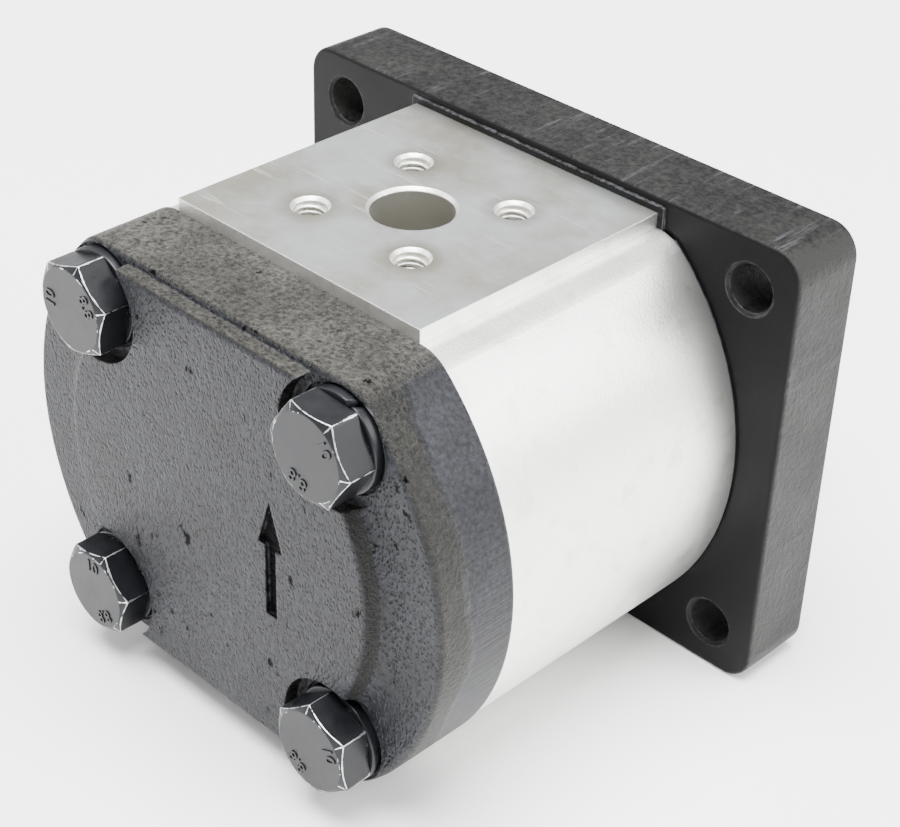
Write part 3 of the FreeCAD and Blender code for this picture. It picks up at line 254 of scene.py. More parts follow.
def bolt_surface(sizes, x, z, turn, seat, tip):
    """One hexagon bolt, its head towards -Y, as a grid of profiles round its axis.

    In the direction t the head reaches the flats divided by twice a soft maximum of the cosines of t
    to its six sides, which is a hexagon with slightly rounded corners. The top is flat to the land,
    then falls at 30 degrees to the flank. Angles crowd towards the corners as a sine does. Each point
    also gets a wear from 0 to 1, which fades as exp(-(distance / width)^2) from the nearest edge.
    """
    per_side, sharpness = 22, 70
    within = np.radians(30) * np.sin(np.linspace(-np.pi / 2, np.pi / 2, per_side, endpoint=False))
    sides = np.radians(60) * np.arange(6)
    angles = (sides[:, None] + within).ravel() + turn + np.radians(30)
    cosines = np.clip(np.cos(angles[:, None] - turn - np.radians(30) - sides), 0, None)
    flank = sizes.head_flats / 2 / (cosines ** sharpness).sum(axis=1) ** (1 / sharpness)
    land = sizes.head_flats / 2 * sizes.head_land
    top = seat - sizes.head_height
    shank = sizes.bolt_shank / 2
    edge = top + (flank - land) * math.tan(math.radians(30))
    near = 0.7 * MM                       # extra rings of points this close to an edge carry its wear
    shape = [(0.0, top), (land - near, top), (land - near / 2, top), (land, top), (flank, edge),
             (flank, edge + near / 2), (flank, edge + near), (flank, seat - near), (flank, seat),
             (shank, seat), (shank, tip - MM), (shank - MM, tip), (0.0, tip)]
    corners = np.stack([np.stack([np.broadcast_to(r, angles.shape), np.broadcast_to(y, angles.shape)], -1)
                        for r, y in shape], axis=1)
    profile = round_corners(corners, sizes.head_edge, 5)
    radius, y = profile[..., 0], profile[..., 1]
    points = np.stack([x + radius * np.cos(angles)[:, None], y, z + radius * np.sin(angles)[:, None]], -1)
    faces = grid_faces(*points.shape[:2], close_rows=True)
    to_corner = np.abs(np.angle(np.exp(6j * (angles - turn)))[:, None]) / 6 * radius
    to_land = np.abs(radius - land) + np.abs(y - top)
    to_edge = np.abs(radius - flank[:, None]) + np.abs(y - edge[:, None])
    to_seat = np.abs(radius - flank[:, None]) + np.abs(y - seat)
    flat_side = radius > land * 1.01
    worn = np.stack([0.9 * np.exp(-(to_corner / 0.17 / MM) ** 2) * flat_side,
                     0.42 * np.exp(-(to_land / 0.14 / MM) ** 2), np.exp(-(to_edge / 0.19 / MM) ** 2),
                     0.6 * np.exp(-(to_seat / 0.17 / MM) ** 2)]).max(axis=0) * (y < seat + 0.01 * MM)
    return points, faces, worn.ravel()


def split_ring(sizes, x, z, turn, seat, thickness):
    """One spring washer lying from its seat towards -Y: a rounded rectangle carried round a split circle.

    The ends slant like the real cut, because the angle of each profile point grows with its height.
    """
    inner, outer = sizes.washer_inner / 2, sizes.washer_outer / 2
    middle = (inner + outer) / 2
    section = np.array([[middle, 0], [outer, 0], [outer, thickness], [inner, thickness], [inner, 0],
                        [middle, 0]])
    loop = round_corners(section[None], sizes.washer_edge, 5)[0][:-1]
    gap = sizes.washer_split / (outer + inner)
    around = np.linspace(gap, 2 * np.pi - gap, 120)[:, None]
    slant = (loop[:, 1] - thickness / 2) * math.tan(math.radians(25)) / middle
    angle = around + turn + slant
    level = np.broadcast_to(seat - loop[:, 1], angle.shape)
    points = np.stack([x + loop[:, 0] * np.cos(angle), level, z + loop[:, 0] * np.sin(angle)], -1)
    faces = grid_faces(*points.shape[:2], close_columns=True)
    columns = points.shape[1]
    caps = []
    for row, flip in ((0, False), (points.shape[0] - 1, True)):
        line = row * columns + np.arange(columns)
        half = columns // 2
        left, right = line[:half], line[::-1][:half]
        quads = np.stack([left[:-1], left[1:], right[1:], right[:-1]], -1)
        caps.append(quads[:, ::-1] if flip else quads)
    return points, np.concatenate([faces, *caps])


def thread_surface(centre, along, start, end, wall, crest, pitch, per_turn=36):
    """A thread: a V-shaped ridge carried round a helix from start to end along an axis.

    along is 1 for Y and 2 for Z. The ridge's height fades over the first and last half turn.
    """
    turns = (end - start) / pitch - 1
    angle = np.linspace(0, 2 * np.pi * turns, int(per_turn * turns))[:, None]
    fade = np.clip(np.minimum(angle, angle[-1] - angle) / np.pi, 0.02, 1)
    outline = np.array([[0, -0.44], [1, -0.09], [1, 0.09], [0, 0.44]])
    radius = wall + (crest - wall) * outline[:, 0] * fade
    place = start + pitch * (0.5 + angle / (2 * np.pi)) + pitch * outline[:, 1] * (0.3 + 0.7 * fade)
    across = [axis for axis in range(3) if axis != along]
    points = np.empty((len(angle), 4, 3))
    points[..., across[0]] = centre[across[0]] + radius * np.cos(angle)
    points[..., across[1]] = centre[across[1]] + radius * np.sin(angle)
    points[..., along] = place
    faces = grid_faces(len(angle), 4, close_columns=True)
    last = (len(angle) - 1) * 4
    ends = np.array([[0, 1, 2, 3], [last + 3, last + 2, last + 1, last]])
    return points, np.concatenate([faces, ends])


def outward(piece):
    """Merge a new piece's doubled points and turn its faces outwards."""
    work = bmesh.new()
    work.from_mesh(piece.data)
    bmesh.ops.remove_doubles(work, verts=work.verts, dist=1e-6)
    bmesh.ops.recalc_face_normals(work, faces=work.faces)
    work.to_mesh(piece.data)
    work.free()
    piece.data.update()


# ---------------------------------------------------------------- materials


def add(tree, kind, links=None, **settings):
    """Add one shader node: settings are its own, links give its inputs a value or another node's output."""
    node = tree.nodes.new("ShaderNode" + kind)
    for key, value in settings.items():
        setattr(node, key, value)
    for key, value in (links or {}).items():
        if isinstance(value, bpy.types.NodeSocket):
            tree.links.new(value, node.inputs[key])
        else:
            node.inputs[key].default_value = value
    return node


def new_material(name):
    """An empty node material with its output, a Principled shader and Object coordinates."""
    material = bpy.data.materials.new(name)
    material.use_nodes = True
    tree = material.node_tree
    tree.nodes.clear()
    shader = add(tree, "BsdfPrincipled")
    add(tree, "OutputMaterial", {"Surface": shader.outputs["BSDF"]})
    return material, tree, shader, add(tree, "TexCoord").outputs["Object"]


def finish_node(name, material):
    """Give a carried-over part its finish."""
    part = frame["nodes"][name]
    part.data.materials.clear()
    part.data.materials.append(material)


def edge_wear(tree, place, radius_mm, spacing_mm):
    """How worn a point is, 0 to 1, high on sharp edges and broken up by a pattern, and the eased normal.

    The Bevel node's normal leans away from the true one only near an edge.
    """
    eased = add(tree, "Bevel", {"Radius": radius_mm * MM}, samples=6)
    flat = add(tree, "NewGeometry").outputs["Normal"]
    same = add(tree, "VectorMath", {0: eased.outputs[0], 1: flat}, operation="DOT_PRODUCT")
    edge = add(tree, "MapRange", {"Value": same.outputs["Value"], "From Min": 0.99, "From Max": 0.86})
    breaks = add(tree, "TexNoise", {"Vector": place, "Scale": per_metre(spacing_mm), "Detail": 4.0,
                                    "Roughness": 0.7})
    kept = add(tree, "MapRange", {"Value": breaks.outputs["Fac"], "From Min": 0.40, "From Max": 0.62})
    worn = add(tree, "Math", {0: edge.outputs[0], 1: kept.outputs[0]}, operation="MULTIPLY")
    return worn.outputs[0], eased.outputs[0]


def cast_iron(name, colours, box):
    """As-cast iron under a thin black coating: the sand leaves an orange-peel skin with small pits.

    The dimples lie 0.6 mm apart and are taller than wide on the end face, and the flats above and below
    are granular. Along the joint the round sides were ground with the body, and show fine lines.
    """
    material, tree, shader, place = new_material(name)
    normal = add(tree, "SeparateXYZ", {0: add(tree, "NewGeometry").outputs["True Normal"]})
    facing = add(tree, "Math", {0: normal.outputs["Y"], 1: -0.78}, operation="LESS_THAN")
    level = add(tree, "Math", {0: normal.outputs["Z"]}, operation="ABSOLUTE")
    flat_side = add(tree, "MapRange", {"Value": level.outputs[0], "From Min": 0.75, "From Max": 0.95})
    position = add(tree, "SeparateXYZ", {0: place})
    tall = add(tree, "Mapping", {"Vector": place, "Scale": (1, 1, 0.65)})
    peel = add(tree, "TexVoronoi", {"Vector": tall.outputs[0], "Scale": per_metre(0.6),
                                    "Smoothness": 0.6}, feature="SMOOTH_F1")
    lumps = add(tree, "TexNoise", {"Vector": tall.outputs[0], "Scale": per_metre(0.95),
                                   "Detail": 3.0, "Roughness": 0.6})
    grain = add(tree, "TexNoise", {"Vector": place, "Scale": per_metre(0.8),
                                   "Detail": 3.0, "Roughness": 0.7})
    patches = add(tree, "TexNoise", {"Vector": place, "Scale": per_metre(15), "Detail": 4.0})
    hollows = add(tree, "TexNoise", {"Vector": tall.outputs[0], "Scale": per_metre(3.2),
                                     "Detail": 4.0, "Roughness": 0.6})
    pits = add(tree, "MapRange", {"Value": hollows.outputs["Fac"], "From Min": 0.67, "From Max": 0.73})
    # the ground band, wavy where it ends, its lines running parallel to the shafts
    joint = box[1][1]
    wobble = add(tree, "Math", {0: patches.outputs["Fac"], 1: 9 * MM, 2: position.outputs["Y"]},
                 operation="MULTIPLY_ADD")
    band = add(tree, "MapRange", {"Value": wobble.outputs[0], "From Min": joint - 5.5 * MM,
                                  "From Max": joint - 4.0 * MM})
    sides = add(tree, "MapRange", {"Value": level.outputs[0], "From Min": 0.97, "From Max": 0.72})
    ground = add(tree, "Math", {0: band.outputs[0], 1: sides.outputs[0]}, operation="MULTIPLY")
    cast = add(tree, "Math", {0: 1.0, 1: ground.outputs[0]}, operation="SUBTRACT")
    drawn = add(tree, "Mapping", {"Vector": place, "Scale": (1, 0.06, 1)})
    lines = add(tree, "TexNoise", {"Vector": drawn.outputs[0], "Scale": per_metre(0.6),
                                   "Detail": 3.0, "Roughness": 0.6})
    worn, eased = edge_wear(tree, place, 0.8, 1.1)
    # colour
    side = add(tree, "Mix", {0: flat_side.outputs[0], 6: colours.cast_side, 7: colours.cast_top},
               data_type="RGBA")
    smooth = add(tree, "Math", {0: facing.outputs[0], 1: ground.outputs[0]}, operation="MAXIMUM")
    skin = add(tree, "Mix", {0: smooth.outputs[0], 6: side.outputs[2], 7: colours.cast_face},
               data_type="RGBA")
    shade = add(tree, "MapRange", {"Value": patches.outputs["Fac"], "From Min": 0.3, "From Max": 0.7,
                                   "To Min": 0.6, "To Max": 1.5})
    speckle = add(tree, "MapRange", {"Value": grain.outputs["Fac"], "From Min": 0.35, "From Max": 0.7,
                                     "To Min": 0.2, "To Max": 2.7})
    factor = add(tree, "Math", {0: shade.outputs[0], 1: speckle.outputs[0]}, operation="MULTIPLY")
    # painted shade: the concave wall round the raised face is darkened to 30% of its tone, standing in for
    # the shade that falls on it
    raised = add(tree, "Math", {0: position.outputs["Y"], 1: box[0][1] + 2.9 * MM},
                 operation="LESS_THAN")
    wall = add(tree, "Math", {0: raised.outputs[0], 1: facing.outputs[0]}, operation="SUBTRACT")
    shaded_wall = add(tree, "Math", {0: wall.outputs[0], 1: sides.outputs[0]}, operation="MULTIPLY",
                  use_clamp=True)
    wall_shade = add(tree, "MapRange", {"Value": shaded_wall.outputs[0], "To Min": 1.0, "To Max": 0.3})
    factor_with_wall_shade = add(tree, "Math", {0: factor.outputs[0], 1: wall_shade.outputs[0]}, operation="MULTIPLY")
    toned = add(tree, "VectorMath", {0: skin.outputs[2], "Scale": factor_with_wall_shade.outputs[0]},
                operation="SCALE")
    # painted shade: the sunk arrow's floor and walls are painted black, standing in for the shade inside
    # it;
    # a box round it, 8 mm wide and 28 mm tall, from 0.24 mm below the end face to just past that floor
    off = add(tree, "VectorMath", {0: place, 1: (0, box[0][1] + 0.72 * MM, 0)}, operation="SUBTRACT")
    away = add(tree, "VectorMath", {0: off.outputs[0]}, operation="ABSOLUTE")
    shares = add(tree, "VectorMath", {0: away.outputs[0], 1: (4 * MM, 0.48 * MM, 14 * MM)},
                 operation="DIVIDE")
    share = add(tree, "SeparateXYZ", {0: shares.outputs[0]})
    widest = add(tree, "Math", {0: share.outputs["X"], 1: share.outputs["Y"]}, operation="MAXIMUM")
    farthest = add(tree, "Math", {0: widest.outputs[0], 1: share.outputs["Z"]}, operation="MAXIMUM")
    arrow = add(tree, "Math", {0: farthest.outputs[0], 1: 1.0}, operation="LESS_THAN")
    pit_shade = add(tree, "Math", {0: pits.outputs[0], 1: cast.outputs[0]}, operation="MULTIPLY")
    dark = add(tree, "Math", {0: arrow.outputs[0], 1: pit_shade.outputs[0]}, operation="MAXIMUM")
    # painted shade in the pits and the arrow: black with no gloss at all, as the shade in a hole is;
    # a metal reflects only its own colour
    tree.links.new(dark.outputs[0], shader.inputs["Metallic"])
    tone_with_painted_shade = add(tree, "Mix", {0: dark.outputs[0], 6: toned.outputs[0], 7: colours.cast_pit_shade},
                 data_type="RGBA")
    rubbed = add(tree, "Mix", {0: worn, 6: tone_with_painted_shade.outputs[2], 7: colours.cast_rubbed},
                 data_type="RGBA")
    tree.links.new(rubbed.outputs[2], shader.inputs["Base Color"])
    shader.inputs["Specular IOR Level"].default_value = 0.22
    gloss = add(tree, "MapRange", {"Value": dark.outputs[0], "To Min": 0.46, "To Max": 0.75})
    tree.links.new(gloss.outputs[0], shader.inputs["Roughness"])
    # relief: orange peel on the end face, grains on the sides, lines where ground
    dimples = add(tree, "MapRange", {"Value": peel.outputs["Distance"], "From Min": 0.0,
                                     "From Max": 0.45, "To Min": 0.0, "To Max": 1.0})
    peeled = add(tree, "Math", {0: lumps.outputs["Fac"], 1: dimples.outputs[0]}, operation="ADD")
    grains = add(tree, "Math", {0: grain.outputs["Fac"], 1: 2.6}, operation="MULTIPLY")
    relief = add(tree, "Mix", {0: facing.outputs[0], 2: grains.outputs[0], 3: peeled.outputs[0]})
    sunk = add(tree, "Math", {0: pits.outputs[0], 1: -2.0, 2: relief.outputs[0]},
               operation="MULTIPLY_ADD")
    rough = add(tree, "Math", {0: sunk.outputs[0], 1: cast.outputs[0]}, operation="MULTIPLY")
    ruled = add(tree, "Math", {0: lines.outputs["Fac"], 1: ground.outputs[0]}, operation="MULTIPLY")
    whole = add(tree, "Math", {0: ruled.outputs[0], 1: 0.5, 2: rough.outputs[0]},
                operation="MULTIPLY_ADD")
    bump = add(tree, "Bump", {"Height": whole.outputs[0], "Distance": 0.27 * MM, "Strength": 1.0,
                              "Normal": eased})
    tree.links.new(bump.outputs[0], shader.inputs["Normal"])
    return material


def coated_flange(name, colours):
    """Cast iron, machined behind and coated black: smooth and bluish on its machined faces.

    The rim keeps some of its cast skin, mottled, and shows slanting scratches where it was handled. Its end
    faces
    carry painted light: they are coloured lighter, as lit from the sides.
    """
    material, tree, shader, place = new_material(name)
    normal = add(tree, "SeparateXYZ", {0: add(tree, "NewGeometry").outputs["True Normal"]})
    across = add(tree, "Math", {0: normal.outputs["Y"]}, operation="ABSOLUTE")
    rim = add(tree, "MapRange", {"Value": across.outputs[0], "From Min": 0.9, "From Max": 0.5})
    lit_side_facing = add(tree, "Math", {0: normal.outputs["X"]}, operation="ABSOLUTE")
    ends = add(tree, "MapRange", {"Value": lit_side_facing.outputs[0], "From Min": 0.3, "From Max": 0.8})
    skin = add(tree, "TexNoise", {"Vector": place, "Scale": per_metre(1.1), "Detail": 4.0,
                                  "Roughness": 0.65})
    cloud = add(tree, "TexNoise", {"Vector": place, "Scale": per_metre(13), "Detail": 5.0,
                                   "Roughness": 0.6})
    nicks = add(tree, "TexNoise", {"Vector": place, "Scale": per_metre(2.6), "Detail": 5.0,
                                   "Roughness": 0.7})
    chips = add(tree, "MapRange", {"Value": nicks.outputs["Fac"], "From Min": 0.64, "From Max": 0.70})
    slant = add(tree, "Mapping", {"Vector": place, "Rotation": (0.2, 0.55, 0.75),
                                  "Scale": (1.0, 0.07, 0.3)})
    scratches = add(tree, "TexNoise", {"Vector": slant.outputs[0], "Scale": per_metre(1.5),
                                       "Detail": 5.0, "Roughness": 0.75})
    fine = add(tree, "MapRange", {"Value": scratches.outputs["Fac"], "From Min": 0.56,
                                  "From Max": 0.72})
    where = add(tree, "MapRange", {"Value": cloud.outputs["Fac"], "From Min": 0.42, "From Max": 0.60})
    struck = add(tree, "Math", {0: fine.outputs[0], 1: where.outputs[0]}, operation="MULTIPLY")
    struck_rim = add(tree, "Math", {0: struck.outputs[0], 1: rim.outputs[0]}, operation="MULTIPLY")
    worn, eased = edge_wear(tree, place, 0.45, 1.6)
    tone = add(tree, "MapRange", {"Value": cloud.outputs["Fac"], "From Min": 0.35, "From Max": 0.65,
                                  "To Min": 0.15, "To Max": 0.6})
    grains = add(tree, "MapRange", {"Value": skin.outputs["Fac"], "From Min": 0.35, "From Max": 0.7,
                                    "To Min": -0.3, "To Max": 0.6})
    mottled = add(tree, "Math", {0: tone.outputs[0], 1: grains.outputs[0]}, operation="ADD")
    # painted light: faces turned towards ±X are coloured lighter, standing in for the light on the flange's
    # ends
    lighter = add(tree, "Math", {0: mottled.outputs[0], 1: ends.outputs[0]}, operation="ADD")
    rim_tone_and_lit_ends = add(tree, "Math", {0: lighter.outputs[0], 1: rim.outputs[0]}, operation="MULTIPLY",
                   use_clamp=True)
    base = add(tree, "Mix", {0: rim_tone_and_lit_ends.outputs[0], 6: colours.coat, 7: colours.coat_rim},
               data_type="RGBA")
    marked = add(tree, "Mix", {0: struck_rim.outputs[0], 6: base.outputs[2], 7: colours.coat_scratch},
                 data_type="RGBA")
    rubbed = add(tree, "Mix", {0: worn, 6: marked.outputs[2], 7: colours.coat_worn},
                 data_type="RGBA")
    tree.links.new(rubbed.outputs[2], shader.inputs["Base Color"])
    shader.inputs["Specular IOR Level"].default_value = 0.09
    gloss = add(tree, "MapRange", {"Value": cloud.outputs["Fac"], "From Min": 0.3, "From Max": 0.7,
                                   "To Min": 0.36, "To Max": 0.5})
    tree.links.new(gloss.outputs[0], shader.inputs["Roughness"])
    rough = add(tree, "Math", {0: chips.outputs[0], 1: -0.8, 2: skin.outputs["Fac"]},
                operation="MULTIPLY_ADD")
    strength = add(tree, "MapRange", {"Value": rim.outputs[0], "To Min": 0.05, "To Max": 1.0})
    relief = add(tree, "Math", {0: rough.outputs[0], 1: strength.outputs[0]}, operation="MULTIPLY")
    bump = add(tree, "Bump", {"Height": relief.outputs[0], "Distance": 0.3 * MM, "Normal": eased})
    tree.links.new(bump.outputs[0], shader.inputs["Normal"])
    return material


def body_aluminium(name, colours, box):
    """Extruded aluminium: fine blasted sides that look almost white, and port faces milled flat.

    The milled faces show wide, faint cutter arcs 2.4 mm apart, oil round the holes and a few white
    scratches. Bores are darker, with the rings that a boring tool leaves.
    """
    material, tree, shader, place = new_material(name)
    position = add(tree, "SeparateXYZ", {0: place})
    level = add(tree, "Math", {0: position.outputs["Z"]}, operation="ABSOLUTE")
    normal = add(tree, "SeparateXYZ", {0: add(tree, "NewGeometry").outputs["True Normal"]})
    up = add(tree, "Math", {0: normal.outputs["Z"]}, operation="ABSOLUTE")
    flat = add(tree, "Math", {0: up.outputs[0], 1: 0.9}, operation="GREATER_THAN")
    high = add(tree, "Math", {0: level.outputs[0], 1: box[1][2] - 0.3 * MM}, operation="GREATER_THAN")
    pad = add(tree, "Math", {0: flat.outputs[0], 1: high.outputs[0]}, operation="MULTIPLY")
    # distance from the ports' axis, and from the nearest of the four tapped holes round it
    centre = MOUNTS["pressure_port"]["pos_m"]
    reach = MOUNTS["pressure_port_bolts"]["dims"]["pcd_mm"] / 2 * MM * math.sqrt(0.5)
    from_port = add(tree, "VectorMath", {0: place, 1: (centre[0], centre[1], 0)},
                    operation="SUBTRACT")
    in_plane = add(tree, "VectorMath", {0: from_port.outputs[0], 1: (1, 1, 0)}, operation="MULTIPLY")
    radial = add(tree, "VectorMath", {0: in_plane.outputs[0]}, operation="LENGTH")
    quarter = add(tree, "VectorMath", {0: in_plane.outputs[0]}, operation="ABSOLUTE")
    from_tap = add(tree, "VectorMath", {0: quarter.outputs[0], 1: (reach, reach, 0)},
                   operation="DISTANCE")
    in_port = add(tree, "Math", {0: radial.outputs["Value"], 1: 10.4 * MM}, operation="LESS_THAN")
    in_tap = add(tree, "Math", {0: from_tap.outputs["Value"], 1: 3.15 * MM}, operation="LESS_THAN")
    either = add(tree, "Math", {0: in_port.outputs[0], 1: in_tap.outputs[0]}, operation="MAXIMUM")
    wall = add(tree, "Math", {0: up.outputs[0], 1: 0.3}, operation="LESS_THAN")
    bored = add(tree, "Math", {0: either.outputs[0], 1: wall.outputs[0]}, operation="MULTIPLY")
    halo = add(tree, "MapRange", {"Value": from_tap.outputs["Value"], "From Min": 6.5 * MM,
                                  "From Max": 2.6 * MM, "To Min": 0.0, "To Max": 1.5})
    # patterns
    cloud = add(tree, "TexNoise", {"Vector": place, "Scale": per_metre(18), "Detail": 5.0,
                                   "Roughness": 0.6})
    blast = add(tree, "TexNoise", {"Vector": place, "Scale": per_metre(0.5), "Detail": 2.0})
    spots = add(tree, "TexNoise", {"Vector": place, "Scale": per_metre(7), "Detail": 6.0,
                                   "Roughness": 0.7})
    dirty = add(tree, "MapRange", {"Value": spots.outputs["Fac"], "From Min": 0.52, "From Max": 0.80,
                                   "To Max": 0.6})
    soiled = add(tree, "Math", {0: spots.outputs["Fac"], 1: halo.outputs[0]}, operation="MULTIPLY",
                 use_clamp=True)
    side_tone = add(tree, "Mix", {0: dirty.outputs[0], 6: colours.blasted, 7: colours.stain},
                    data_type="RGBA")
    arcs_from = add(tree, "Mapping", {"Vector": place, "Location": (0.11, 0.10, 0)})
    arcs = add(tree, "TexWave", {"Vector": arcs_from.outputs[0], "Scale": per_metre(2.4) / 20,
                                 "Distortion": 1.5, "Detail": 2.0, "Detail Scale": 3.0},
               wave_type="RINGS", rings_direction="Z")
    patchy = add(tree, "MapRange", {"Value": cloud.outputs["Fac"], "From Min": 0.38, "From Max": 0.62})
    milled = add(tree, "Mix", {0: patchy.outputs[0], 6: colours.milled, 7: colours.milled_dull},
                 data_type="RGBA")
    scratch_from = add(tree, "Mapping", {"Vector": place, "Rotation": (0, 0, 0.45),
                                         "Scale": (0.06, 1, 1)})
    scratch = add(tree, "TexNoise", {"Vector": scratch_from.outputs[0], "Scale": per_metre(1.8),
                                     "Detail": 5.0, "Roughness": 0.8})
    scratched = add(tree, "MapRange", {"Value": scratch.outputs["Fac"], "From Min": 0.585,
                                       "From Max": 0.66, "To Max": 0.8})
    oiled = add(tree, "Mix", {0: soiled.outputs[0], 6: milled.outputs[2], 7: colours.oil},
                data_type="RGBA")
    white = add(tree, "Mix", {0: scratched.outputs[0], 6: oiled.outputs[2], 7: colours.scratched},
                data_type="RGBA")
    outside = add(tree, "Mix", {0: pad.outputs[0], 6: side_tone.outputs[2], 7: white.outputs[2]},
                  data_type="RGBA")
    tone = add(tree, "Mix", {0: bored.outputs[0], 6: outside.outputs[2], 7: colours.bored},
               data_type="RGBA")
    tree.links.new(tone.outputs[2], shader.inputs["Base Color"])
    shader.inputs["Metallic"].default_value = 1.0
    gloss = add(tree, "MapRange", {"Value": pad.outputs[0], "To Min": 0.32, "To Max": 0.30})
    varied = add(tree, "Math", {0: cloud.outputs["Fac"], 1: 0.12, 2: gloss.outputs[0]},
                 operation="MULTIPLY_ADD")
    tree.links.new(varied.outputs[0], shader.inputs["Roughness"])
    # relief: blasted grain, cutter arcs, and rings down the bores
    ring_from = add(tree, "Mapping", {"Vector": place, "Scale": (0.01, 0.01, 1)})
    rings = add(tree, "TexNoise", {"Vector": ring_from.outputs[0], "Scale": per_metre(0.7),
                                   "Detail": 2.0})
    side_relief = add(tree, "Math", {0: blast.outputs["Fac"], 1: 0.6}, operation="MULTIPLY")
    pad_relief = add(tree, "Math", {0: arcs.outputs["Fac"], 1: 0.15}, operation="MULTIPLY")
    relief = add(tree, "Mix", {0: pad.outputs[0], 2: side_relief.outputs[0], 3: pad_relief.outputs[0]})
    all_relief = add(tree, "Mix", {0: bored.outputs[0], 2: relief.outputs[0], 3: rings.outputs["Fac"]})
    eased = add(tree, "Bevel", {"Radius": 0.35 * MM}, samples=6)
    bump = add(tree, "Bump", {"Height": all_relief.outputs[0], "Distance": 0.06 * MM,
                              "Normal": eased.outputs[0]})
    tree.links.new(bump.outputs[0], shader.inputs["Normal"])
    return material


def oxidised_steel(name, colours):
    """Hot-formed steel blackened in an oxide bath: dark, faintly blue, with bare steel on worn edges.

    The wear follows the attribute that the pieces carry, broken up by a pattern 2 mm apart.
    """
    material, tree, shader, place = new_material(name)
    wear = add(tree, "Attribute", attribute_name="worn")
    breaks = add(tree, "TexNoise", {"Vector": place, "Scale": per_metre(2.0), "Detail": 4.0,
                                    "Roughness": 0.6})
    marks = add(tree, "TexNoise", {"Vector": place, "Scale": per_metre(5), "Detail": 5.0,
                                   "Roughness": 0.65})
    reach = add(tree, "MapRange", {"Value": breaks.outputs["Fac"], "From Min": 0.36, "From Max": 0.66,
                                   "To Min": 0.98, "To Max": 0.2})
    bare = add(tree, "Math", {0: wear.outputs["Fac"], 1: reach.outputs[0]}, operation="GREATER_THAN")
    shade = add(tree, "MapRange", {"Value": marks.outputs["Fac"], "From Min": 0.3,
                                   "From Max": 0.7, "To Min": 0.6, "To Max": 1.5})
    dark = add(tree, "VectorMath", {0: colours.oxide[:3], "Scale": shade.outputs[0]},
               operation="SCALE")
    tone = add(tree, "Mix", {0: bare.outputs[0], 6: dark.outputs[0], 7: colours.worn},
               data_type="RGBA")
    tree.links.new(tone.outputs[2], shader.inputs["Base Color"])
    tree.links.new(bare.outputs[0], shader.inputs["Metallic"])
    shader.inputs["Specular IOR Level"].default_value = 0.26
    gloss = add(tree, "MapRange", {"Value": marks.outputs["Fac"], "From Min": 0.3,
                                   "From Max": 0.7, "To Min": 0.26, "To Max": 0.42})
    tree.links.new(gloss.outputs[0], shader.inputs["Roughness"])
    bump = add(tree, "Bump", {"Height": breaks.outputs["Fac"], "Distance": 0.03 * MM})
    tree.links.new(bump.outputs[0], shader.inputs["Normal"])
    return material


def turned_metal(name, tone, roughness, spacing_mm, along, strength=0.3):
    """Turned or ground metal: fine rings round the axis it was turned about, and slight staining.

    spacing_mm is the tool's feed, drawn coarser than the real 0.1 mm so that it shows.
    """
    material, tree, shader, place = new_material(name)
    squash = [0.01, 0.01, 0.01]
    squash[along] = 1
    rings = add(tree, "TexNoise", {
        "Vector": add(tree, "Mapping", {"Vector": place, "Scale": squash}).outputs[0],
        "Scale": per_metre(spacing_mm), "Detail": 3.0})
    cloud = add(tree, "TexNoise", {"Vector": place, "Scale": per_metre(8), "Detail": 4.0})
    shade = add(tree, "MapRange", {"Value": cloud.outputs["Fac"], "From Min": 0.3, "From Max": 0.7,
                                   "To Min": 0.86, "To Max": 1.06})
    toned = add(tree, "VectorMath", {0: tone[:3], "Scale": shade.outputs[0]}, operation="SCALE")
    tree.links.new(toned.outputs[0], shader.inputs["Base Color"])
    shader.inputs["Metallic"].default_value = 1.0
    gloss = add(tree, "Math", {0: rings.outputs["Fac"], 1: 0.14, 2: roughness},
                operation="MULTIPLY_ADD")
    tree.links.new(gloss.outputs[0], shader.inputs["Roughness"])
    edge = add(tree, "Bevel", {"Radius": 0.15 * MM}, samples=4)
    bump = add(tree, "Bump", {"Height": rings.outputs["Fac"], "Distance": 0.02 * MM,
                              "Strength": strength, "Normal": edge.outputs[0]})
    tree.links.new(bump.outputs[0], shader.inputs["Normal"])
    return material


def moulded(name, tone, roughness, grain_mm=0.5):
    """Moulded rubber or plastic: an even colour with a fine matt grain from the mould."""
    material, tree, shader, place = new_material(name)
    grain = add(tree, "TexNoise", {"Vector": place, "Scale": per_metre(grain_mm), "Detail": 2.0})
    cloud = add(tree, "TexNoise", {"Vector": place, "Scale": per_metre(7), "Detail": 3.0})
    shade = add(tree, "MapRange", {"Value": cloud.outputs["Fac"], "From Min": 0.3, "From Max": 0.7,
                                   "To Min": 0.85, "To Max": 1.1})
    toned = add(tree, "VectorMath", {0: tone[:3], "Scale": shade.outputs[0]}, operation="SCALE")
    tree.links.new(toned.outputs[0], shader.inputs["Base Color"])
    gloss = add(tree, "Math", {0: cloud.outputs["Fac"], 1: 0.1, 2: roughness},
                operation="MULTIPLY_ADD")
    tree.links.new(gloss.outputs[0], shader.inputs["Roughness"])
    bump = add(tree, "Bump", {"Height": grain.outputs["Fac"], "Distance": 0.03 * MM})
    tree.links.new(bump.outputs[0], shader.inputs["Normal"])
    return material


# ---------------------------------------------------------------- operators


class PUMP_OT_castings(bpy.types.Operator):
    """Finish the mounting flange and the rear cover as coated cast iron"""

    bl_idname = "pump.castings"
    bl_label = "Finish Castings"

    def execute(self, context):
        colours = context.scene.pump_colours
        finish_node("rear_cover", cast_iron("black_cast_iron", colours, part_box("rear_cover")))
        finish_node("mounting_flange", coated_flange("coated_cast_iron", colours))
        return {"FINISHED"}


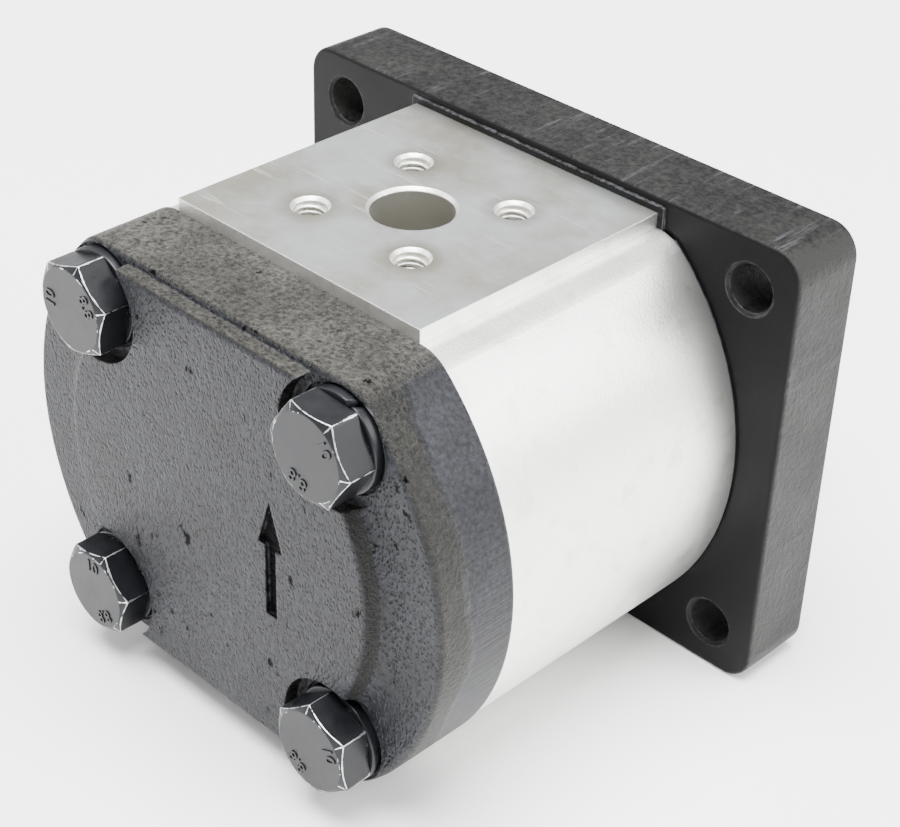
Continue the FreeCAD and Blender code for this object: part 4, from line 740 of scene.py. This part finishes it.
class PUMP_OT_body(bpy.types.Operator):
    """Finish the extruded body and cut the threads in its ports' tapped holes"""

    bl_idname = "pump.body"
    bl_label = "Finish Body"

    def execute(self, context):
        sizes, colours = context.scene.pump_sizes, context.scene.pump_colours
        material = body_aluminium("extruded_aluminium", colours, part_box("pump_body"))
        finish_node("pump_body", material)
        for port in ("pressure", "suction"):
            mount = MOUNTS[f"{port}_port_bolts"]
            side = mount["axis"][2]
            wall = mount["dims"]["hole_r_mm"] * MM
            reach = mount["dims"]["pcd_mm"] / 2 * MM * math.sqrt(0.5)
            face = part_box("pump_body")[1][2] * side
            low, high = sorted((face - side * 0.5 * MM, face - side * sizes.port_thread))
            threads = []
            for x in (-reach, reach):
                for y in (-reach, reach):
                    centre = (mount["pos_m"][0] + x, mount["pos_m"][1] + y, 0)
                    threads.append(thread_surface(centre, 2, low, high, wall + 0.02 * MM,
                                                  wall - 0.54 * sizes.port_pitch, sizes.port_pitch))
            outward(new_piece(f"{port}_port_threads", *stack_meshes(threads), "root",
                              "extruded_aluminium", material))
        return {"FINISHED"}


class PUMP_OT_cover_bolts(bpy.types.Operator):
    """Make the four cover bolts, their strength marks and their spring washers"""

    bl_idname = "pump.cover_bolts"
    bl_label = "Make Cover Bolts"

    def execute(self, context):
        sizes, colours = context.scene.pump_sizes, context.scene.pump_colours
        material = oxidised_steel("black_oxide_steel", colours)
        washer_low, washer_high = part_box("spring_washers")
        seat, rest = washer_low[1], washer_high[1]
        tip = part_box("cover_bolts")[1][1]
        bolts, wear, washers, marks = [], [], [], []
        for x, z, head_turn, split_turn, mark_turn in bolt_places():
            points, faces, worn = bolt_surface(sizes, x, z, head_turn, seat, tip)
            bolts.append((points, faces))
            wear.append(worn)
            washers.append(split_ring(sizes, x, z, split_turn, rest, rest - seat))
            marks.append(self.mark("8.8", sizes, x, z, mark_turn, seat - sizes.head_height))
            marks.append(self.mark("10", sizes, x, z, mark_turn + math.radians(150),
                                   seat - sizes.head_height))
        piece = new_piece("cover_bolt_set", *stack_meshes(bolts), "root", "black_oxide_steel", material)
        attribute = piece.data.attributes.new("worn", "FLOAT", "POINT")
        attribute.data.foreach_set("value", np.concatenate(wear).astype(np.float32))
        outward(piece)
        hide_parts("cover_bolts")
        rings = new_piece("spring_washer_set", *stack_meshes(washers), "root", "black_oxide_steel",
                          material)
        outward(rings)
        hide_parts("spring_washers")
        new_piece("bolt_strength_marks", *stack_meshes(marks), "root", "black_oxide_steel", material,
                  smooth=False)
        return {"FINISHED"}

    @staticmethod
    def mark(figures, sizes, x, z, turn, face):
        """Raised figures near the head's edge, as triangles with their places."""
        curve = bpy.data.curves.new("strength_class", "FONT")
        curve.body = figures
        curve.size = sizes.mark_height * 1.4
        curve.align_x = "CENTER"
        curve.align_y = "CENTER"
        curve.extrude = sizes.mark_relief
        curve.bevel_depth = 0.05 * MM
        curve.resolution_u = 3
        text = bpy.data.objects.new("strength_class", curve)
        bpy.context.scene.collection.objects.link(text)
        bpy.context.view_layer.update()
        mesh = bpy.data.meshes.new_from_object(text.evaluated_get(bpy.context.evaluated_depsgraph_get()))
        mesh.calc_loop_triangles()
        points = np.empty(len(mesh.vertices) * 3)
        mesh.vertices.foreach_get("co", points)
        faces = np.empty(len(mesh.loop_triangles) * 3, int)
        mesh.loop_triangles.foreach_get("vertices", faces)
        bpy.data.objects.remove(text)
        points = points.reshape(-1, 3)
        across, up, out = points.T
        radius = sizes.mark_circle
        side, top = (math.sin(turn), -math.cos(turn)), (math.cos(turn), math.sin(turn))
        placed = np.stack([x + side[0] * across + top[0] * (up + radius), face - out,
                           z + side[1] * across + top[1] * (up + radius)], -1)
        return placed, faces.reshape(-1, 3)


class PUMP_OT_running_gear(bpy.types.Operator):
    """Finish the shafts, gears, bearings and pins, and cut the thread on the shaft's end"""

    bl_idname = "pump.running_gear"
    bl_label = "Finish Running Gear"

    def execute(self, context):
        sizes, colours = context.scene.pump_sizes, context.scene.pump_colours
        steel = turned_metal("ground_steel", colours.steel, 0.2, 0.5, 1)
        for name in ("drive_gear_shaft", "idler_gear_shaft", "shaft_key", "front_dowels", "rear_dowels"):
            finish_node(name, steel)
        bronze = turned_metal("bearing_bronze", colours.bronze, 0.3, 0.4, 1)
        for name in frame["nodes"]:
            if name.endswith("_bush"):
                finish_node(name, bronze)
        cast = turned_metal("cast_aluminium", colours.die_cast, 0.38, 0.9, 1)
        for end in ("front", "rear"):
            finish_node(f"{end}_bearing_block", cast)
        zinc = turned_metal("zinc_plated_steel", colours.zinc, 0.26, 0.8, 1)
        for name in ("shaft_nut", "shaft_lock_washer"):
            finish_node(name, zinc)
        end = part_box("drive_gear_shaft")[1][1]
        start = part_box("shaft_lock_washer")[0][1]
        crest = sizes.shaft_crest / 2
        thread = thread_surface((0, 0, 0), 1, start, end - 0.3 * MM, crest - 0.94 * MM, crest,
                                sizes.shaft_pitch, 60)
        outward(new_piece("shaft_end_thread", *thread, "drive", "ground_steel", steel))
        return {"FINISHED"}


class PUMP_OT_seals(bpy.types.Operator):
    """Finish the seals, their strips, the shaft seal and the retaining ring"""

    bl_idname = "pump.seals"
    bl_label = "Finish Seals"

    def execute(self, context):
        colours = context.scene.pump_colours
        rubber = moulded("nitrile_rubber", colours.rubber, 0.45)
        for name in ("front_pressure_seal", "rear_pressure_seal", "front_body_seal", "rear_body_seal",
                     "shaft_seal_lip"):
            finish_node(name, rubber)
        plastic = moulded("seal_plastic", colours.plastic, 0.35)
        for end in ("front", "rear"):
            finish_node(f"{end}_backup_strips", plastic)
        finish_node("shaft_seal_case", turned_metal("pressed_steel", colours.pressed, 0.4, 0.7, 1))
        spring = turned_metal("spring_steel", colours.spring, 0.34, 0.5, 0)
        for name in ("shaft_seal_spring", "retaining_ring"):
            finish_node(name, spring)
        return {"FINISHED"}


class PUMP_OT_stage(bpy.types.Operator):
    """Set the camera, the soft lights and a plain pale floor"""

    bl_idname = "pump.stage"
    bl_label = "Set Stage"

    def execute(self, context):
        scene, stage = context.scene, context.scene.pump_stage
        a, e, roll = stage.azimuth, stage.elevation, stage.roll
        back = Vector((math.sin(a) * math.cos(e), -math.cos(a) * math.cos(e), math.sin(e)))
        across = Vector((math.cos(a), math.sin(a), 0))
        up = back.cross(across)
        right = across * math.cos(roll) + up * math.sin(roll)
        top = up * math.cos(roll) - across * math.sin(roll)
        camera = bpy.data.objects.new("camera", bpy.data.cameras.new("camera"))
        scene.collection.objects.link(camera)
        turned = Matrix((right, top, back)).transposed().to_4x4()
        camera.matrix_world = Matrix.Translation(stage.eye) @ turned
        camera.data.lens = stage.lens
        camera.data.sensor_width = 36
        camera.data.clip_start = 0.01
        camera.data.clip_end = 20
        scene.camera = camera

        low, high = (Vector(corner) for corner in cad_box)
        middle = (low + high) / 2
        size = 8.0
        corners = np.array([[-size, -size], [size, -size], [size, size], [-size, size]])
        floor_points = np.column_stack([corners, np.full(4, low.z - 0.05 * MM)])
        mesh = bpy.data.meshes.new("floor")
        mesh.from_pydata(floor_points.tolist(), [], [(0, 1, 2, 3)])
        floor = bpy.data.objects.new("floor", mesh)
        scene.collection.objects.link(floor)
        material, _, shader, _ = new_material("floor_paper")
        shader.inputs["Base Color"].default_value = stage.floor
        shader.inputs["Roughness"].default_value = 0.9
        mesh.materials.append(material)

        world = bpy.data.worlds.new("studio")
        world.use_nodes = True
        world.node_tree.nodes["Background"].inputs["Color"].default_value = linear("#ffffff")
        world.node_tree.nodes["Background"].inputs["Strength"].default_value = 1.0 * stage.brightness
        scene.world = world
        for name, turn, height, far, wide, power in LAMPS:
            lamp = bpy.data.lights.new(name, "AREA")
            lamp.shape = "DISK"
            lamp.size = wide
            lamp.energy = power * stage.brightness
            light = bpy.data.objects.new(name, lamp)
            scene.collection.objects.link(light)
            t, h = math.radians(turn), math.radians(height)
            away = Vector((math.sin(t) * math.cos(h), -math.cos(t) * math.cos(h), math.sin(h)))
            light.location = middle + away * far
            light.rotation_euler = away.to_track_quat("Z", "Y").to_euler()
        return {"FINISHED"}


class PUMP_PT_sidebar(bpy.types.Panel):
    """Lists the pump's operators and settings"""

    bl_label = "Gear Pump"
    bl_space_type = "VIEW_3D"
    bl_region_type = "UI"
    bl_category = "Gear Pump"

    def draw(self, context):
        for operator in OPERATORS:
            self.layout.operator(operator.bl_idname)
        for settings in ("pump_sizes", "pump_colours", "pump_stage"):
            group = getattr(context.scene, settings)
            column = self.layout.column()
            for name in group.bl_rna.properties.keys():
                if name not in {"rna_type", "name"}:
                    column.prop(group, name)


OPERATORS = (PUMP_OT_castings, PUMP_OT_body, PUMP_OT_cover_bolts, PUMP_OT_running_gear, PUMP_OT_seals,
             PUMP_OT_stage)
GROUPS = {"pump_sizes": PumpSizes, "pump_colours": PumpColours, "pump_stage": PumpStage}


def register():
    for group in GROUPS.values():
        bpy.utils.register_class(group)
    for item in (*OPERATORS, PUMP_PT_sidebar):
        bpy.utils.register_class(item)
    for name, group in GROUPS.items():
        setattr(bpy.types.Scene, name, PointerProperty(type=group))


def unregister():
    for name in GROUPS:
        delattr(bpy.types.Scene, name)
    for item in (PUMP_PT_sidebar, *reversed(OPERATORS), *reversed(tuple(GROUPS.values()))):
        bpy.utils.unregister_class(item)


def main():
    """Register everything and run the operators in order."""
    register()
    bpy.ops.pump.stage()
    bpy.ops.pump.castings()
    bpy.ops.pump.body()
    bpy.ops.pump.cover_bolts()
    bpy.ops.pump.running_gear()
    bpy.ops.pump.seals()


if __name__ == "__main__":
    main()
